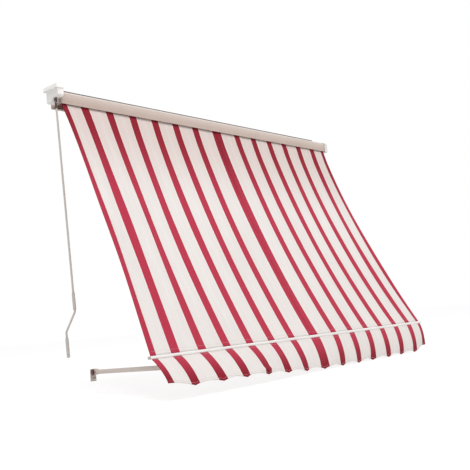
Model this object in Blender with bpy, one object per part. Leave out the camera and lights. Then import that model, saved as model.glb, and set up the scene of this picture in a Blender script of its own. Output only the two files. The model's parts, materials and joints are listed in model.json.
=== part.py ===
"""Drop-arm window awning: hood, hand crank, striped canopy, front bar with valance and two arms.

Metres, +Z up, +X along the width, the wall is the plane y = 0 and the awning stands out towards -Y.
The origin is the middle of the hood's back face on the wall.
"""

import math

import bmesh
import bpy
from mathutils import Matrix, Vector

# Running and touching gaps
GAP = 0.0003
SIDE_PLAY = 0.0010
GEAR_PLAY = 0.0006

# Canopy
FABRIC_WIDTH = 2.400
FABRIC_DROP = 1.446
CLOTH = 0.0020
PANEL_SAG = 0.050
LEFT_GATHER = 0.036
RIGHT_GATHER = 0.052
EDGE_FOLD = 0.016
LEFT_GATHER_SPREAD = 0.13
RIGHT_GATHER_SPREAD = 0.24
EDGE_FOLD_AT = 0.10
EDGE_FOLD_SPREAD = 0.035
EDGE_SAG_SHARE = 0.4

# Hood
HOOD_HEIGHT = 0.105
HOOD_DEPTH = 0.124
HOOD_SLOPE = math.radians(15.5)
HOOD_CHAMFER = 0.013
HOOD_WALL = 0.0025
HOOD_LIP = 0.006
HOOD_FOOT = 0.020
HOOD_OVERHANG = 0.004
SEAL_HEIGHT = 0.0225
SEAL_THICKNESS = 0.008

# Roller
ROLLER_LEVEL = -0.006
TUBE_RADIUS = 0.0200
TUBE_WALL = 0.0012
ROLL_TURNS = 0.0035
PLUG_LENGTH = 0.045
SHAFT_RADIUS = 0.0060
BEARING_PLATE = 0.0030
SHAFT_STUB = 0.0020
ROLL_MARGIN = 0.004

# Gear and its cap
CAP_WIDTH = 0.048
CAP_TAPER = 0.004
CAP_WALL = 0.0030
CAP_DEPTH = 0.160
CAP_RISE = 0.014
CAP_FALL = 0.0145
CAP_LID = 0.026
CAP_LID_LEAN = 0.008
CAP_LID_LAP = 0.012
CAP_STEP = 0.007
CAP_CORNER = 0.008
WHEEL_RADIUS = 0.030
WHEEL_WIDTH = 0.012
WHEEL_TEETH = 24
TOOTH_HEIGHT = 0.003
WORM_RADIUS = 0.0100
WORM_CORE = 0.0065
WORM_LENGTH = 0.016
WORM_RINGS = 5
WORM_THREAD = ((0.20, 0), (0.45, 1), (0.70, 1), (0.95, 0))
END_CAP_WIDTH = 0.034
END_CAP_MARGIN = 0.004

# Universal joint
CRANK_OFFSET = 0.028
JOINT_GAP = 0.002
JOINT_HUB = 0.0155
JOINT_RADIUS = 0.0080
JOINT_CHAMFER = 0.0016
JOINT_REACH = 0.0160
EAR_THICKNESS = 0.0032
EAR_WIDTH = 0.0074
CROSS_BLOCK = 0.0070
CROSS_PIN = 0.0020
EAR_STEPS = 12

# Crank
CRANK_RADIUS = 0.0055
CRANK_TILT = math.radians(0.7)
CRANK_LEAN = math.radians(2.4)
CRANK_SHANK = 1.192
CRANK_THROW = 0.062
CRANK_THROW_DROP = 0.105
CRANK_TAIL = 0.125
CRANK_BEND = 0.022
BEND_STEPS = 6
UPPER_GRIP_END = 0.016
GRIP_RADIUS = 0.0085
GRIP_PLAY = 0.0004
UPPER_GRIP_LENGTH = 0.082
LOWER_GRIP_LENGTH = 0.090
COLLAR_RADIUS = 0.0078
COLLAR_LENGTH = 0.006
GRIP_CAP_LENGTH = 0.010

# Front bar and valance
BAR_DEPTH = 0.025
BAR_HEIGHT = 0.015
BAR_CORNER = 0.004
BAR_MARGIN = 0.004
BAR_CAP = 0.004
BAR_LEAD = 0.002
VALANCE_LENGTH = 0.195
VALANCE_LEAN_RIGHT = math.radians(9)
VALANCE_LEAN_LEFT = math.radians(46)
VALANCE_CURL = math.radians(26)
LEAN_MIDDLE = 0.40
LEAN_SPREAD = 0.085
SCALLOP_DEPTH = 0.018
SCALLOP_ROUND = 0.8
END_LIFT = 0.040
STRIPE_FIRST = 0.151
STRIPE_PITCH = 0.1704
STRIPE_WIDTH = 0.050
SEAM_STRIPE_WIDTH = 0.082
EDGE_STRIPE_WIDTH = 0.029
STRIPES_EACH_SIDE = 6

# Arms
ARM_LENGTH = 0.761
ARM_RISE = math.radians(1.6)
ARM_RADIUS = 0.0125
ARM_WALL = 0.0015
ARM_INSET = 0.165
ARM_STANDOFF = 0.030
CARRIER_DROP = 0.0512
EYE_RADIUS = 0.0160
TIP_EYE_RADIUS = 0.0100
EYE_WIDTH = 0.0220
SPIGOT_LENGTH = 0.050
NECK = 0.024
EYE_STEPS = 16
PIN_RADIUS = 0.0050
CHEEK = 0.0040
BRACKET_WIDTH = 0.036
BRACKET_UP = 0.017
BRACKET_DOWN = 0.052
BRACKET_PLATE = 0.0050
CAP_DISC_RADIUS = 0.0175
CAP_DISC_LENGTH = 0.0090
PIN_HEAD_RADIUS = 0.0085
PIN_HEAD = 0.0040

# Screws
SCREW_RADIUS = 0.0035
SCREW_HEAD_RADIUS = 0.0065
SCREW_HEAD = 0.0040
SCREW_SPREAD = 0.0095
HOOD_SCREWS = 3
HOOD_SCREW_SPAN = 1.92
HEAD_SHOULDER = 0.6
HEAD_CROWN = 0.7

# Worked out from the sizes above
HALF_WIDTH = FABRIC_WIDTH / 2
HOOD_HALF = HALF_WIDTH + HOOD_OVERHANG
BACK_TOP = HOOD_HEIGHT / 2
LIP_LEVEL = -HOOD_HEIGHT / 2
ROLL_RADIUS = TUBE_RADIUS + ROLL_TURNS
ROLLER_SETBACK = HOOD_DEPTH / 2
CLOTH_OFFSET = ROLL_RADIUS + GAP + CLOTH / 2
TIP_Y = -ARM_STANDOFF - ARM_LENGTH * math.cos(ARM_RISE)
BAR_Y = TIP_Y - BAR_LEAD
BAR_TOP = LIP_LEVEL - FABRIC_DROP
BAR_BOTTOM = BAR_TOP - BAR_HEIGHT
TIP_Z = BAR_BOTTOM - CARRIER_DROP
PIVOT_Z = TIP_Z - ARM_LENGTH * math.sin(ARM_RISE)
BAR_OUT = -ROLLER_SETBACK - BAR_Y
BAR_DOWN = ROLLER_LEVEL - BAR_TOP
SLOPE = math.atan2(BAR_OUT, BAR_DOWN) - math.asin(CLOTH_OFFSET / math.hypot(BAR_OUT, BAR_DOWN))
CLOTH_START_Y = -ROLLER_SETBACK - CLOTH_OFFSET * math.cos(SLOPE)
CLOTH_START_Z = ROLLER_LEVEL + CLOTH_OFFSET * math.sin(SLOPE)
PANEL_END_GAP = (GAP + CLOTH / 2 * math.sin(SLOPE)) / math.cos(SLOPE)
PANEL_LENGTH = math.hypot(BAR_Y - CLOTH_START_Y, BAR_TOP - CLOTH_START_Z) - PANEL_END_GAP
BAR_HALF = HALF_WIDTH + BAR_MARGIN
ARM_X = HALF_WIDTH - ARM_INSET
CRANK_X = -HALF_WIDTH - CRANK_OFFSET
CRANK_Y = -ROLLER_SETBACK - WHEEL_RADIUS - GEAR_PLAY - WORM_RADIUS
CAP_LOBE_DROP = WHEEL_RADIUS - ROLLER_LEVEL + SIDE_PLAY + CAP_WALL
CAP_LOBE_FRONT = -CRANK_Y - JOINT_RADIUS - SIDE_PLAY
CAP_STANDOFF = ROLLER_SETBACK - WHEEL_RADIUS - SIDE_PLAY - CAP_WALL
CAP_BOTTOM = ROLLER_LEVEL - WORM_LENGTH / 2 - 2 * SIDE_PLAY - CAP_WALL
CAP_LID_BACK = BACK_TOP + CAP_RISE - CAP_LID
CAP_LID_FRONT = CAP_LID_BACK - CAP_FALL
JOINT_Z = CAP_BOTTOM - JOINT_GAP - JOINT_HUB - JOINT_REACH
EAR_OFFSET = CROSS_BLOCK / 2 + GAP + EAR_THICKNESS / 2
CAP_INNER = HOOD_HALF + GAP

# Colours and finishes: red, green, blue, roughness, metallic
FINISHES = {
    "hood_enamel": (0.72, 0.66, 0.62, 0.42, 0.0),
    "cap_plastic": (0.83, 0.80, 0.77, 0.45, 0.0),
    "seal_rubber": (0.20, 0.18, 0.18, 0.80, 0.0),
    "steel": (0.62, 0.62, 0.63, 0.35, 1.0),
    "joint_brown": (0.13, 0.05, 0.045, 0.45, 0.0),
    "crank_enamel": (0.68, 0.63, 0.60, 0.40, 0.0),
    "grip_plastic": (0.72, 0.68, 0.65, 0.50, 0.0),
    "bar_enamel": (0.86, 0.84, 0.82, 0.38, 0.0),
    "arm_enamel": (0.70, 0.62, 0.57, 0.42, 0.0),
    "maroon_plastic": (0.12, 0.02, 0.03, 0.40, 0.0),
    "red_stripe": (0.42, 0.03, 0.07, 0.90, 0.0),
    "cream_cloth": (0.80, 0.76, 0.74, 0.92, 0.0),
}


def clear_scene():
    """Empties the scene that the script is run in."""
    for item in list(bpy.data.objects):
        bpy.data.objects.remove(item, do_unlink=True)


def material(name):
    """Returns the named finish as a Principled material, made once."""
    found = bpy.data.materials.get(name)
    if found:
        return found
    red, green, blue, roughness, metallic = FINISHES[name]
    made = bpy.data.materials.new(name)
    made.use_nodes = True
    shader = made.node_tree.nodes["Principled BSDF"]
    shader.inputs["Base Color"].default_value = (red, green, blue, 1.0)
    shader.inputs["Roughness"].default_value = roughness
    shader.inputs["Metallic"].default_value = metallic
    made.diffuse_color = (red, green, blue, 1.0)
    return made


def empty(name, location, parent=None):
    """Adds an empty on a joint's axis."""
    holder = bpy.data.objects.new(name, None)
    bpy.context.collection.objects.link(holder)
    holder.empty_display_size = 0.05
    holder.parent = parent
    bpy.context.view_layer.update()
    base = parent.matrix_world.inverted() if parent else Matrix.Identity(4)
    holder.matrix_local = base @ Matrix.Translation(location)
    bpy.context.view_layer.update()
    return holder


def add_object(name, mesh_builder, finish, origin=(0, 0, 0), parent=None, turn=None, sharp=35):
    """Turns a bmesh given in world coordinates into an object whose origin is where it is asked for."""
    bmesh.ops.remove_doubles(mesh_builder, verts=mesh_builder.verts, dist=0.000002)
    bmesh.ops.recalc_face_normals(mesh_builder, faces=mesh_builder.faces)
    if turn is None:
        bmesh.ops.translate(mesh_builder, verts=mesh_builder.verts, vec=-Vector(origin))
    mesh = bpy.data.meshes.new(name)
    mesh_builder.to_mesh(mesh)
    mesh_builder.free()
    mesh.materials.append(material(finish))
    mesh.shade_smooth()
    mesh.set_sharp_from_angle(angle=math.radians(sharp))
    item = bpy.data.objects.new(name, mesh)
    bpy.context.collection.objects.link(item)
    place = Matrix.Translation(origin) @ (turn or Matrix.Identity(4))
    if parent:
        item.parent = parent
        item.matrix_local = parent.matrix_world.inverted() @ place
    else:
        item.matrix_local = place
    return item


def cut(item, cutters):
    """Takes the cutters out of an object with exact Booleans."""
    for number, builder in enumerate(cutters):
        tool = add_object(f"{item.name}_cutter_{number}", builder, "steel")
        tool.hide_render = True
        tool.display_type = "WIRE"
        step = item.modifiers.new(f"cut_{number}", "BOOLEAN")
        step.operation = "DIFFERENCE"
        step.solver = "EXACT"
        step.object = tool
    return item


def fuse(item, additions):
    """Joins more shapes into an object with exact Boolean unions."""
    for number, builder in enumerate(additions):
        tool = add_object(f"{item.name}_addition_{number}", builder, "steel")
        tool.hide_render = True
        tool.display_type = "WIRE"
        step = item.modifiers.new(f"join_{number}", "BOOLEAN")
        step.operation = "UNION"
        step.solver = "EXACT"
        step.object = tool
    return item


def prism(outline, low, high, shift=None):
    """Extrudes a (y, z) outline along X. shift(y, z) moves the high end's x."""
    builder = bmesh.new()
    near = [builder.verts.new((low, y, z)) for y, z in outline]
    far = [builder.verts.new((high + (shift(y, z) if shift else 0.0), y, z)) for y, z in outline]
    builder.faces.new(near)
    builder.faces.new(list(reversed(far)))
    count = len(outline)
    for index in range(count):
        following = (index + 1) % count
        builder.faces.new((near[index], far[index], far[following], near[following]))
    return builder


def block(low, high):
    """A box from its lowest to its highest corner."""
    builder = bmesh.new()
    size = Vector(high) - Vector(low)
    middle = (Vector(high) + Vector(low)) / 2
    place = Matrix.Translation(middle) @ Matrix.Diagonal((*size, 1.0))
    bmesh.ops.create_cube(builder, size=1.0, matrix=place)
    return builder


def turned(profile, start, axis, sides=20):
    """Turns a profile of (distance along the axis, radius) points; a radius of 0 closes an end."""
    builder = bmesh.new()
    direction = Vector(axis).normalized()
    across = direction.orthogonal().normalized()
    other = direction.cross(across)
    rings = []
    for distance, radius in profile:
        centre = Vector(start) + direction * distance
        if radius <= 0.0:
            rings.append([builder.verts.new(centre)])
            continue
        ring = []
        for step in range(sides):
            angle = 2 * math.pi * step / sides
            spoke = math.cos(angle) * across + math.sin(angle) * other
            ring.append(builder.verts.new(centre + radius * spoke))
        rings.append(ring)
    for first, second in zip(rings, rings[1:]):
        for step in range(sides):
            following = (step + 1) % sides
            quad = [first[step % len(first)], first[following % len(first)]]
            quad += [second[following % len(second)], second[step % len(second)]]
            corners = list(dict.fromkeys(quad))
            if len(corners) > 2:
                builder.faces.new(corners)
    return builder


def rod(start, axis, length, radius, sides=20):
    """A plain round bar."""
    return turned([(0, 0), (0, radius), (length, radius), (length, 0)], start, axis, sides)


def pipe(start, axis, length, outer, inner, sides=24):
    """A round tube, open at both ends."""
    profile = [(0, outer), (length, outer), (length, inner), (0, inner), (0, outer)]
    return turned(profile, start, axis, sides)


def strip_outline(points, thickness):
    """Offsets an open line of (y, z) points to its right and closes it into the outline of a bent strip."""
    normals = []
    for (y0, z0), (y1, z1) in zip(points, points[1:]):
        length = math.hypot(y1 - y0, z1 - z0)
        normals.append(((z1 - z0) / length, -(y1 - y0) / length))
    inner = []
    for index, (y, z) in enumerate(points):
        before = normals[max(index - 1, 0)]
        after = normals[min(index, len(normals) - 1)]
        share = 1 + before[0] * after[0] + before[1] * after[1]
        shift_y = thickness * (before[0] + after[0]) / share
        shift_z = thickness * (before[1] + after[1]) / share
        inner.append((y + shift_y, z + shift_z))
    return points + list(reversed(inner))


def swept(stations, sides=12):
    """Sweeps a circle along (x, z, radius) stations in the plane y = 0."""
    builder = bmesh.new()
    side = Vector((0, 1, 0))
    rings = []
    count = len(stations)
    for index, (x, z, radius) in enumerate(stations):
        before = index
        while before > 0 and stations[before][:2] == stations[index][:2]:
            before -= 1
        after = index
        while after < count - 1 and stations[after][:2] == stations[index][:2]:
            after += 1
        run_x = stations[after][0] - stations[before][0]
        run_z = stations[after][1] - stations[before][1]
        across = Vector((run_x, 0, run_z)).normalized().cross(side)
        ring = []
        for step in range(sides):
            angle = 2 * math.pi * step / sides
            spoke = math.cos(angle) * side + math.sin(angle) * across
            ring.append(builder.verts.new(Vector((x, 0, z)) + radius * spoke))
        rings.append(ring)
    for first, second in zip(rings, rings[1:]):
        for step in range(sides):
            following = (step + 1) % sides
            builder.faces.new((first[step], first[following], second[following], second[step]))
    builder.faces.new(rings[0])
    builder.faces.new(rings[-1])
    return builder


def sheet(place, columns, down, thickness):
    """A closed sheet round the middle surface place(s, v), s across at the columns, v 0 to 1 down."""
    builder = bmesh.new()
    small = 0.0005

    def normal(s, v):
        right = Vector(place(min(s + small, 1), v)) - Vector(place(max(s - small, 0), v))
        below = Vector(place(s, min(v + small, 1))) - Vector(place(s, max(v - small, 0)))
        return right.cross(below).normalized()

    sides = []
    for direction in (0.5, -0.5):
        grid = []
        for row in range(down + 1):
            v = row / down
            line = [Vector(place(s, v)) + normal(s, v) * thickness * direction for s in columns]
            grid.append([builder.verts.new(point) for point in line])
        sides.append(grid)
    front, back = sides
    across = len(columns) - 1
    for row in range(down):
        for column in range(across):
            finish = 1 if in_stripe((columns[column] + columns[column + 1]) / 2) else 0
            for grid in sides:
                a, b = grid[row][column], grid[row][column + 1]
                c, d = grid[row + 1][column + 1], grid[row + 1][column]
                builder.faces.new((a, b, c, d)).material_index = finish
    for column in range(across):
        for row in (0, down):
            a, b = front[row][column], front[row][column + 1]
            c, d = back[row][column + 1], back[row][column]
            builder.faces.new((a, b, c, d))
    for row in range(down):
        for column in (0, across):
            a, b = front[row][column], front[row + 1][column]
            c, d = back[row + 1][column], back[row][column]
            builder.faces.new((a, b, c, d))
    return builder


def stripes():
    """The red stripes as (middle, width) across the fabric from its left edge, in metres."""
    left = [(STRIPE_FIRST + number * STRIPE_PITCH, STRIPE_WIDTH) for number in range(STRIPES_EACH_SIDE)]
    right = [(FABRIC_WIDTH - middle, width) for middle, width in reversed(left)]
    edge = (EDGE_STRIPE_WIDTH / 2, EDGE_STRIPE_WIDTH)
    other_edge = (FABRIC_WIDTH - EDGE_STRIPE_WIDTH / 2, EDGE_STRIPE_WIDTH)
    return [edge, *left, (FABRIC_WIDTH / 2, SEAM_STRIPE_WIDTH), *right, other_edge]


def in_stripe(s):
    """Whether a share of the width lies in a red stripe."""
    return any(abs(s * FABRIC_WIDTH - middle) < width / 2 for middle, width in stripes())


def stripe_columns(between):
    """Shares of the width at every stripe's two edges, with some more between the stripes."""
    edges = []
    for middle, width in stripes():
        edges += [(middle - width / 2) / FABRIC_WIDTH, (middle + width / 2) / FABRIC_WIDTH]
    columns = [edges[0]]
    for index in range(1, len(edges)):
        steps = between + 1 if index % 2 == 0 else 1
        for step in range(1, steps + 1):
            columns.append(edges[index - 1] + (edges[index] - edges[index - 1]) * step / steps)
    return columns


def hood_line():
    """The hood's outer line from its back foot, over the top, to the front lip, as (y, z) points."""
    front_top = BACK_TOP - (HOOD_DEPTH - HOOD_CHAMFER) * math.tan(HOOD_SLOPE)
    return [
        (-HOOD_FOOT, LIP_LEVEL),
        (0.0, LIP_LEVEL),
        (0.0, BACK_TOP),
        (-(HOOD_DEPTH - HOOD_CHAMFER), front_top),
        (-HOOD_DEPTH, front_top - HOOD_CHAMFER),
        (-HOOD_DEPTH, LIP_LEVEL),
        (-(HOOD_DEPTH - HOOD_LIP), LIP_LEVEL),
    ]


def build_hood():
    """The extruded hood, its wall seal and the screws through its back."""
    outline = strip_outline(hood_line(), -HOOD_WALL)
    hood = add_object("hood", prism(outline, -HOOD_HALF, HOOD_HALF), "hood_enamel")
    seal = [
        (0.0, BACK_TOP + GAP),
        (0.0, BACK_TOP + GAP + SEAL_HEIGHT),
        (-SEAL_THICKNESS / 2, BACK_TOP + GAP + SEAL_HEIGHT),
        (-SEAL_THICKNESS, BACK_TOP + GAP - SEAL_THICKNESS * math.tan(HOOD_SLOPE)),
    ]
    add_object("wall_seal", prism(seal, -HOOD_HALF, HOOD_HALF), "seal_rubber")
    holes = []
    for number in range(HOOD_SCREWS):
        x = HOOD_SCREW_SPAN * (number / (HOOD_SCREWS - 1) - 0.5)
        z = BACK_TOP - 3 * SCREW_HEAD_RADIUS
        holes.append(rod((x, SIDE_PLAY, z), (0, -1, 0), HOOD_WALL + 2 * SIDE_PLAY, SCREW_RADIUS + GAP))
        add_screw(f"hood_screw_{number + 1}", (x, -HOOD_WALL - GAP, z))
    cut(hood, holes)


def add_screw(name, seat):
    """A pan-head screw seated at a point on a face that looks to -Y, its shank ending at the wall."""
    x, y, z = seat
    shank = -y
    profile = [
        (0, 0),
        (0, SCREW_RADIUS),
        (shank, SCREW_RADIUS),
        (shank, SCREW_HEAD_RADIUS),
        (shank + SCREW_HEAD * HEAD_SHOULDER, SCREW_HEAD_RADIUS),
        (shank + SCREW_HEAD, SCREW_HEAD_RADIUS * HEAD_CROWN),
        (shank + SCREW_HEAD, 0),
    ]
    add_object(name, turned(profile, (x, 0, z), (0, -1, 0), 16), "steel", origin=(x, 0, z))


def inset(outline, distance):
    """Draws a closed (y, z) outline in by a distance, or out where it is negative."""
    count = len(outline)
    area = sum(
        outline[i][0] * outline[(i + 1) % count][1] - outline[(i + 1) % count][0] * outline[i][1]
        for i in range(count)
    )
    inward = distance if area > 0 else -distance
    normals = []
    for index in range(count):
        y0, z0 = outline[index]
        y1, z1 = outline[(index + 1) % count]
        length = math.hypot(y1 - y0, z1 - z0)
        normals.append((-(z1 - z0) / length, (y1 - y0) / length))
    drawn = []
    for index, (y, z) in enumerate(outline):
        before = normals[index - 1]
        after = normals[index]
        share = 1 + before[0] * after[0] + before[1] * after[1]
        shift_y = inward * (before[0] + after[0]) / share
        shift_z = inward * (before[1] + after[1]) / share
        drawn.append((y + shift_y, z + shift_z))
    return drawn


def lid_outline():
    """The gear cap's lid from the side: it falls a little to the front, where its edge slants back."""
    return [
        (0.0, CAP_LID_BACK),
        (0.0, CAP_LID_BACK + CAP_LID),
        (CAP_LID_LEAN - CAP_DEPTH, CAP_LID_FRONT + CAP_LID),
        (-CAP_DEPTH, CAP_LID_FRONT),
    ]


def cap_outline():
    """The gear cap's body from the side: a front part over the worm and a lobe round the worm wheel."""
    front = CAP_STEP - CAP_DEPTH
    return [
        (0.0, CAP_LID_BACK + CAP_LID_LAP),
        (0.0, CAP_LID_BACK),
        (-CAP_STANDOFF, CAP_LID_BACK - CAP_CORNER),
        (-CAP_STANDOFF, CAP_CORNER - CAP_LOBE_DROP),
        (-CAP_STANDOFF - CAP_CORNER, -CAP_LOBE_DROP),
        (CAP_CORNER - CAP_LOBE_FRONT, -CAP_LOBE_DROP),
        (-CAP_LOBE_FRONT, CAP_CORNER - CAP_LOBE_DROP),
        (-CAP_LOBE_FRONT, CAP_BOTTOM),
        (front + CAP_CORNER, CAP_BOTTOM),
        (front, CAP_BOTTOM + CAP_CORNER),
        (front, CAP_LID_FRONT + CAP_LID_LAP),
    ]


def lid_lean(y, z):
    """How far the lid's outer side leans in at a height above its lower edge."""
    lower = CAP_LID_BACK + CAP_FALL * y / CAP_DEPTH
    return CAP_LID_LEAN * (z - lower) / CAP_LID


def taper(y, z):
    """How far the cap body's outer side leans in at a distance from the wall."""
    return -y / CAP_DEPTH * CAP_TAPER


def build_gear_cap():
    """The left end cap over the gear, a shell open to the hood's end with a hole for the crank shaft."""
    lid_side = -CAP_INNER - CAP_WIDTH
    body_side = lid_side + CAP_STEP
    lid = lid_outline()
    body = cap_outline()
    cap = add_object("gear_cap", prism(lid, -CAP_INNER, lid_side, lid_lean), "cap_plastic")
    fuse(cap, [prism(body, -CAP_INNER, body_side, taper)])
    opening = -CAP_INNER + SIDE_PLAY
    lid_hollow = prism(inset(lid, CAP_WALL), opening, lid_side + CAP_WALL, lid_lean)
    body_hollow = prism(inset(body, CAP_WALL), opening, body_side + CAP_WALL, taper)
    top = (CRANK_X, CRANK_Y, CAP_BOTTOM + 2 * CAP_WALL)
    shaft_hole = rod(top, (0, 0, -1), 3 * CAP_WALL, SHAFT_RADIUS + SIDE_PLAY)
    cut(cap, [lid_hollow, body_hollow, shaft_hole])


def build_end_cap():
    """The right end cap, a shell a little larger than the hood's end."""
    outline = inset(hood_block(), -END_CAP_MARGIN)
    outline = [(min(y, 0.0), z) for y, z in outline]
    outer = CAP_INNER + END_CAP_WIDTH
    cap = add_object("end_cap", prism(outline, CAP_INNER, outer), "cap_plastic")
    cut(cap, [prism(inset(outline, CAP_WALL), CAP_INNER - SIDE_PLAY, outer - CAP_WALL)])


def hood_block():
    """The hood's outline as a closed block, without its feet."""
    return hood_line()[1:6]


def build_bearings():
    """The two steel plates in the hood's ends that carry the roller, and the idler's fixed pin."""
    outline = inset(hood_block(), HOOD_WALL + GAP)
    level = LIP_LEVEL + HOOD_WALL + GAP
    outline = [(y, max(z, level)) for y, z in outline]
    centre_y, centre_z = -ROLLER_SETBACK, ROLLER_LEVEL
    front = -(HOOD_DEPTH - HOOD_LIP - GAP)
    for side, name in ((-1, "bearing_plate_left"), (1, "bearing_plate_right")):
        near = side * (HOOD_HALF - BEARING_PLATE)
        far = side * HOOD_HALF
        plate = add_object(name, prism(outline, near, far), "steel")
        bore = SHAFT_RADIUS + SIDE_PLAY / 2 if side < 0 else SHAFT_RADIUS + GAP
        start = (near - side * SIDE_PLAY, centre_y, centre_z)
        cut(plate, [rod(start, (side, 0, 0), BEARING_PLATE + 2 * SIDE_PLAY, bore, 32)])
    head = CAP_INNER + SIDE_PLAY
    reach = head - (HALF_WIDTH - ROLL_MARGIN - PLUG_LENGTH / 2)
    profile = [
        (0, 0),
        (0, PIN_HEAD_RADIUS),
        (head - HOOD_HALF - GAP, PIN_HEAD_RADIUS),
        (head - HOOD_HALF - GAP, SHAFT_RADIUS),
        (reach, SHAFT_RADIUS),
        (reach, 0),
    ]
    start = (head, centre_y, centre_z)
    add_object("idler_pin", turned(profile, start, (-1, 0, 0)), "steel", origin=start)


def build_roller():
    """The roller tube, its turns of cloth, its two plugs and the worm wheel on its shaft."""
    axis = (0, -ROLLER_SETBACK, ROLLER_LEVEL)
    holder = empty("roller_axis", axis)
    half = HALF_WIDTH - ROLL_MARGIN

    def place(x):
        return (x, axis[1], axis[2])

    tube = pipe(place(-half), (1, 0, 0), 2 * half, TUBE_RADIUS, TUBE_RADIUS - TUBE_WALL, 32)
    add_object("roller_tube", tube, "steel", axis, holder)
    turns = pipe(place(-half), (1, 0, 0), 2 * half, ROLL_RADIUS, TUBE_RADIUS + GAP, 32)
    add_object("cloth_roll", turns, "red_stripe", axis, holder)
    plug = TUBE_RADIUS - TUBE_WALL - GAP
    collar = HOOD_HALF - BEARING_PLATE - SIDE_PLAY
    wheel_face = CRANK_X + WHEEL_WIDTH / 2 + GAP
    shaft_end = wheel_face - WHEEL_WIDTH - SHAFT_STUB
    shoulder = -collar - shaft_end
    profile = [
        (0, 0),
        (0, SHAFT_RADIUS),
        (shoulder, SHAFT_RADIUS),
        (shoulder, plug),
        (shoulder + PLUG_LENGTH, plug),
        (shoulder + PLUG_LENGTH, 0),
    ]
    start = place(shaft_end)
    add_object("drive_plug", turned(profile, start, (1, 0, 0), 32), "steel", axis, holder)
    bore = SHAFT_RADIUS + SIDE_PLAY / 2
    idler = pipe(place(collar), (-1, 0, 0), PLUG_LENGTH, plug, bore)
    add_object("idler_plug", idler, "grip_plastic", axis, holder)
    add_object("worm_wheel", wheel_teeth(wheel_face), "steel", axis, holder)


def wheel_teeth(face):
    """The worm wheel: a toothed disc bored for the roller's shaft."""
    builder = bmesh.new()
    steps = WHEEL_TEETH * 4
    bore = SHAFT_RADIUS + GAP
    layers = []
    for x in (face, face - WHEEL_WIDTH):
        outer_ring, inner_ring = [], []
        for step in range(steps):
            angle = 2 * math.pi * step / steps
            low = step % 4 in (2, 3)
            radius = WHEEL_RADIUS - (TOOTH_HEIGHT if low else 0.0)
            dy, dz = math.cos(angle), math.sin(angle)
            centre = Vector((x, -ROLLER_SETBACK, ROLLER_LEVEL))
            spoke = Vector((0, dy, dz))
            outer_ring.append(builder.verts.new(centre + radius * spoke))
            inner_ring.append(builder.verts.new(centre + bore * spoke))
        layers.append((outer_ring, inner_ring))
    (outer_a, inner_a), (outer_b, inner_b) = layers
    for step in range(steps):
        following = (step + 1) % steps
        builder.faces.new((outer_a[step], outer_a[following], inner_a[following], inner_a[step]))
        builder.faces.new((outer_b[following], outer_b[step], inner_b[step], inner_b[following]))
        builder.faces.new((outer_a[following], outer_a[step], outer_b[step], outer_b[following]))
        builder.faces.new((inner_a[step], inner_a[following], inner_b[following], inner_b[step]))
    return builder


def fork(name, up, quarter, parent, turn=None):
    """A joint's fork: a hub above (up 1) or below (up -1) its middle and two ears bored for the pins."""
    origin = (CRANK_X, CRANK_Y, JOINT_Z)
    profile = [
        (0, 0),
        (0, JOINT_RADIUS - JOINT_CHAMFER),
        (JOINT_CHAMFER, JOINT_RADIUS),
        (JOINT_HUB, JOINT_RADIUS),
        (JOINT_HUB, 0),
    ]
    hub = turned(profile, (0, 0, up * (JOINT_REACH + JOINT_HUB)), (0, 0, -up))
    spin = Matrix.Rotation(quarter * math.pi / 2, 4, "Z")
    place = (turn or Matrix.Identity(4)) @ spin
    item = add_object(name, hub, "joint_brown", origin, parent, turn=place)
    ears = []
    for side in (-1, 1):
        near = EAR_OFFSET - EAR_THICKNESS / 2
        far = EAR_OFFSET + EAR_THICKNESS / 2
        outline = []
        for step in range(EAR_STEPS + 1):
            angle = math.pi * step / EAR_STEPS
            outline.append((EAR_WIDTH / 2 * math.cos(angle), -up * EAR_WIDTH / 2 * math.sin(angle)))
        root = up * (JOINT_REACH + JOINT_HUB / 3)
        outline += [(-EAR_WIDTH / 2, root), (EAR_WIDTH / 2, root)]
        ears.append(prism(outline, side * near, side * far))
    bore = rod((-JOINT_RADIUS * 2, 0, 0), (1, 0, 0), JOINT_RADIUS * 4, CROSS_PIN + GAP, 16)
    whole = Matrix.Translation(origin) @ place
    for builder in (*ears, bore):
        bmesh.ops.transform(builder, matrix=whole, verts=builder.verts)
    fuse(item, ears)
    return cut(item, [bore])


def build_worm():
    """The worm, its shaft through the cap's floor and the joint's upper fork."""
    origin = (CRANK_X, CRANK_Y, JOINT_Z)
    holder = empty("worm_axis", origin)
    pitch = WORM_LENGTH / WORM_RINGS
    profile = [(0, 0), (0, WORM_CORE)]
    for ring in range(WORM_RINGS):
        for share, crest in WORM_THREAD:
            profile.append(((ring + share) * pitch, WORM_RADIUS if crest else WORM_CORE))
    top = ROLLER_LEVEL + WORM_LENGTH / 2
    end = top - (CAP_BOTTOM - JOINT_GAP) - GAP
    profile += [(WORM_LENGTH, WORM_CORE), (WORM_LENGTH, SHAFT_RADIUS), (end, SHAFT_RADIUS), (end, 0)]
    worm = turned(profile, (CRANK_X, CRANK_Y, top), (0, 0, -1))
    add_object("worm_shaft", worm, "steel", origin, holder)
    fork("upper_fork", 1, 0, holder)
    return holder


def build_cross(parent):
    """The joint's cross: a block with two pairs of pins, one for each fork, leaning with the crank."""
    origin = (CRANK_X, CRANK_Y, JOINT_Z)
    holder = empty("cross_axis", origin, parent)
    half = CROSS_BLOCK / 2
    lean = Matrix.Rotation(-CRANK_LEAN, 4, "X")
    middle = block((-half, -half, -half), (half, half, half))
    cross = add_object("joint_cross", middle, "steel", origin, holder, turn=lean)
    reach = EAR_OFFSET + EAR_THICKNESS / 2
    pins = []
    for axis in ((1, 0, 0), (0, 1, 0)):
        pin = rod(-reach * Vector(axis), axis, 2 * reach, CROSS_PIN, 16)
        bmesh.ops.transform(pin, matrix=Matrix.Translation(origin) @ lean, verts=pin.verts)
        pins.append(pin)
    fuse(cross, pins)
    return holder


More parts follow.
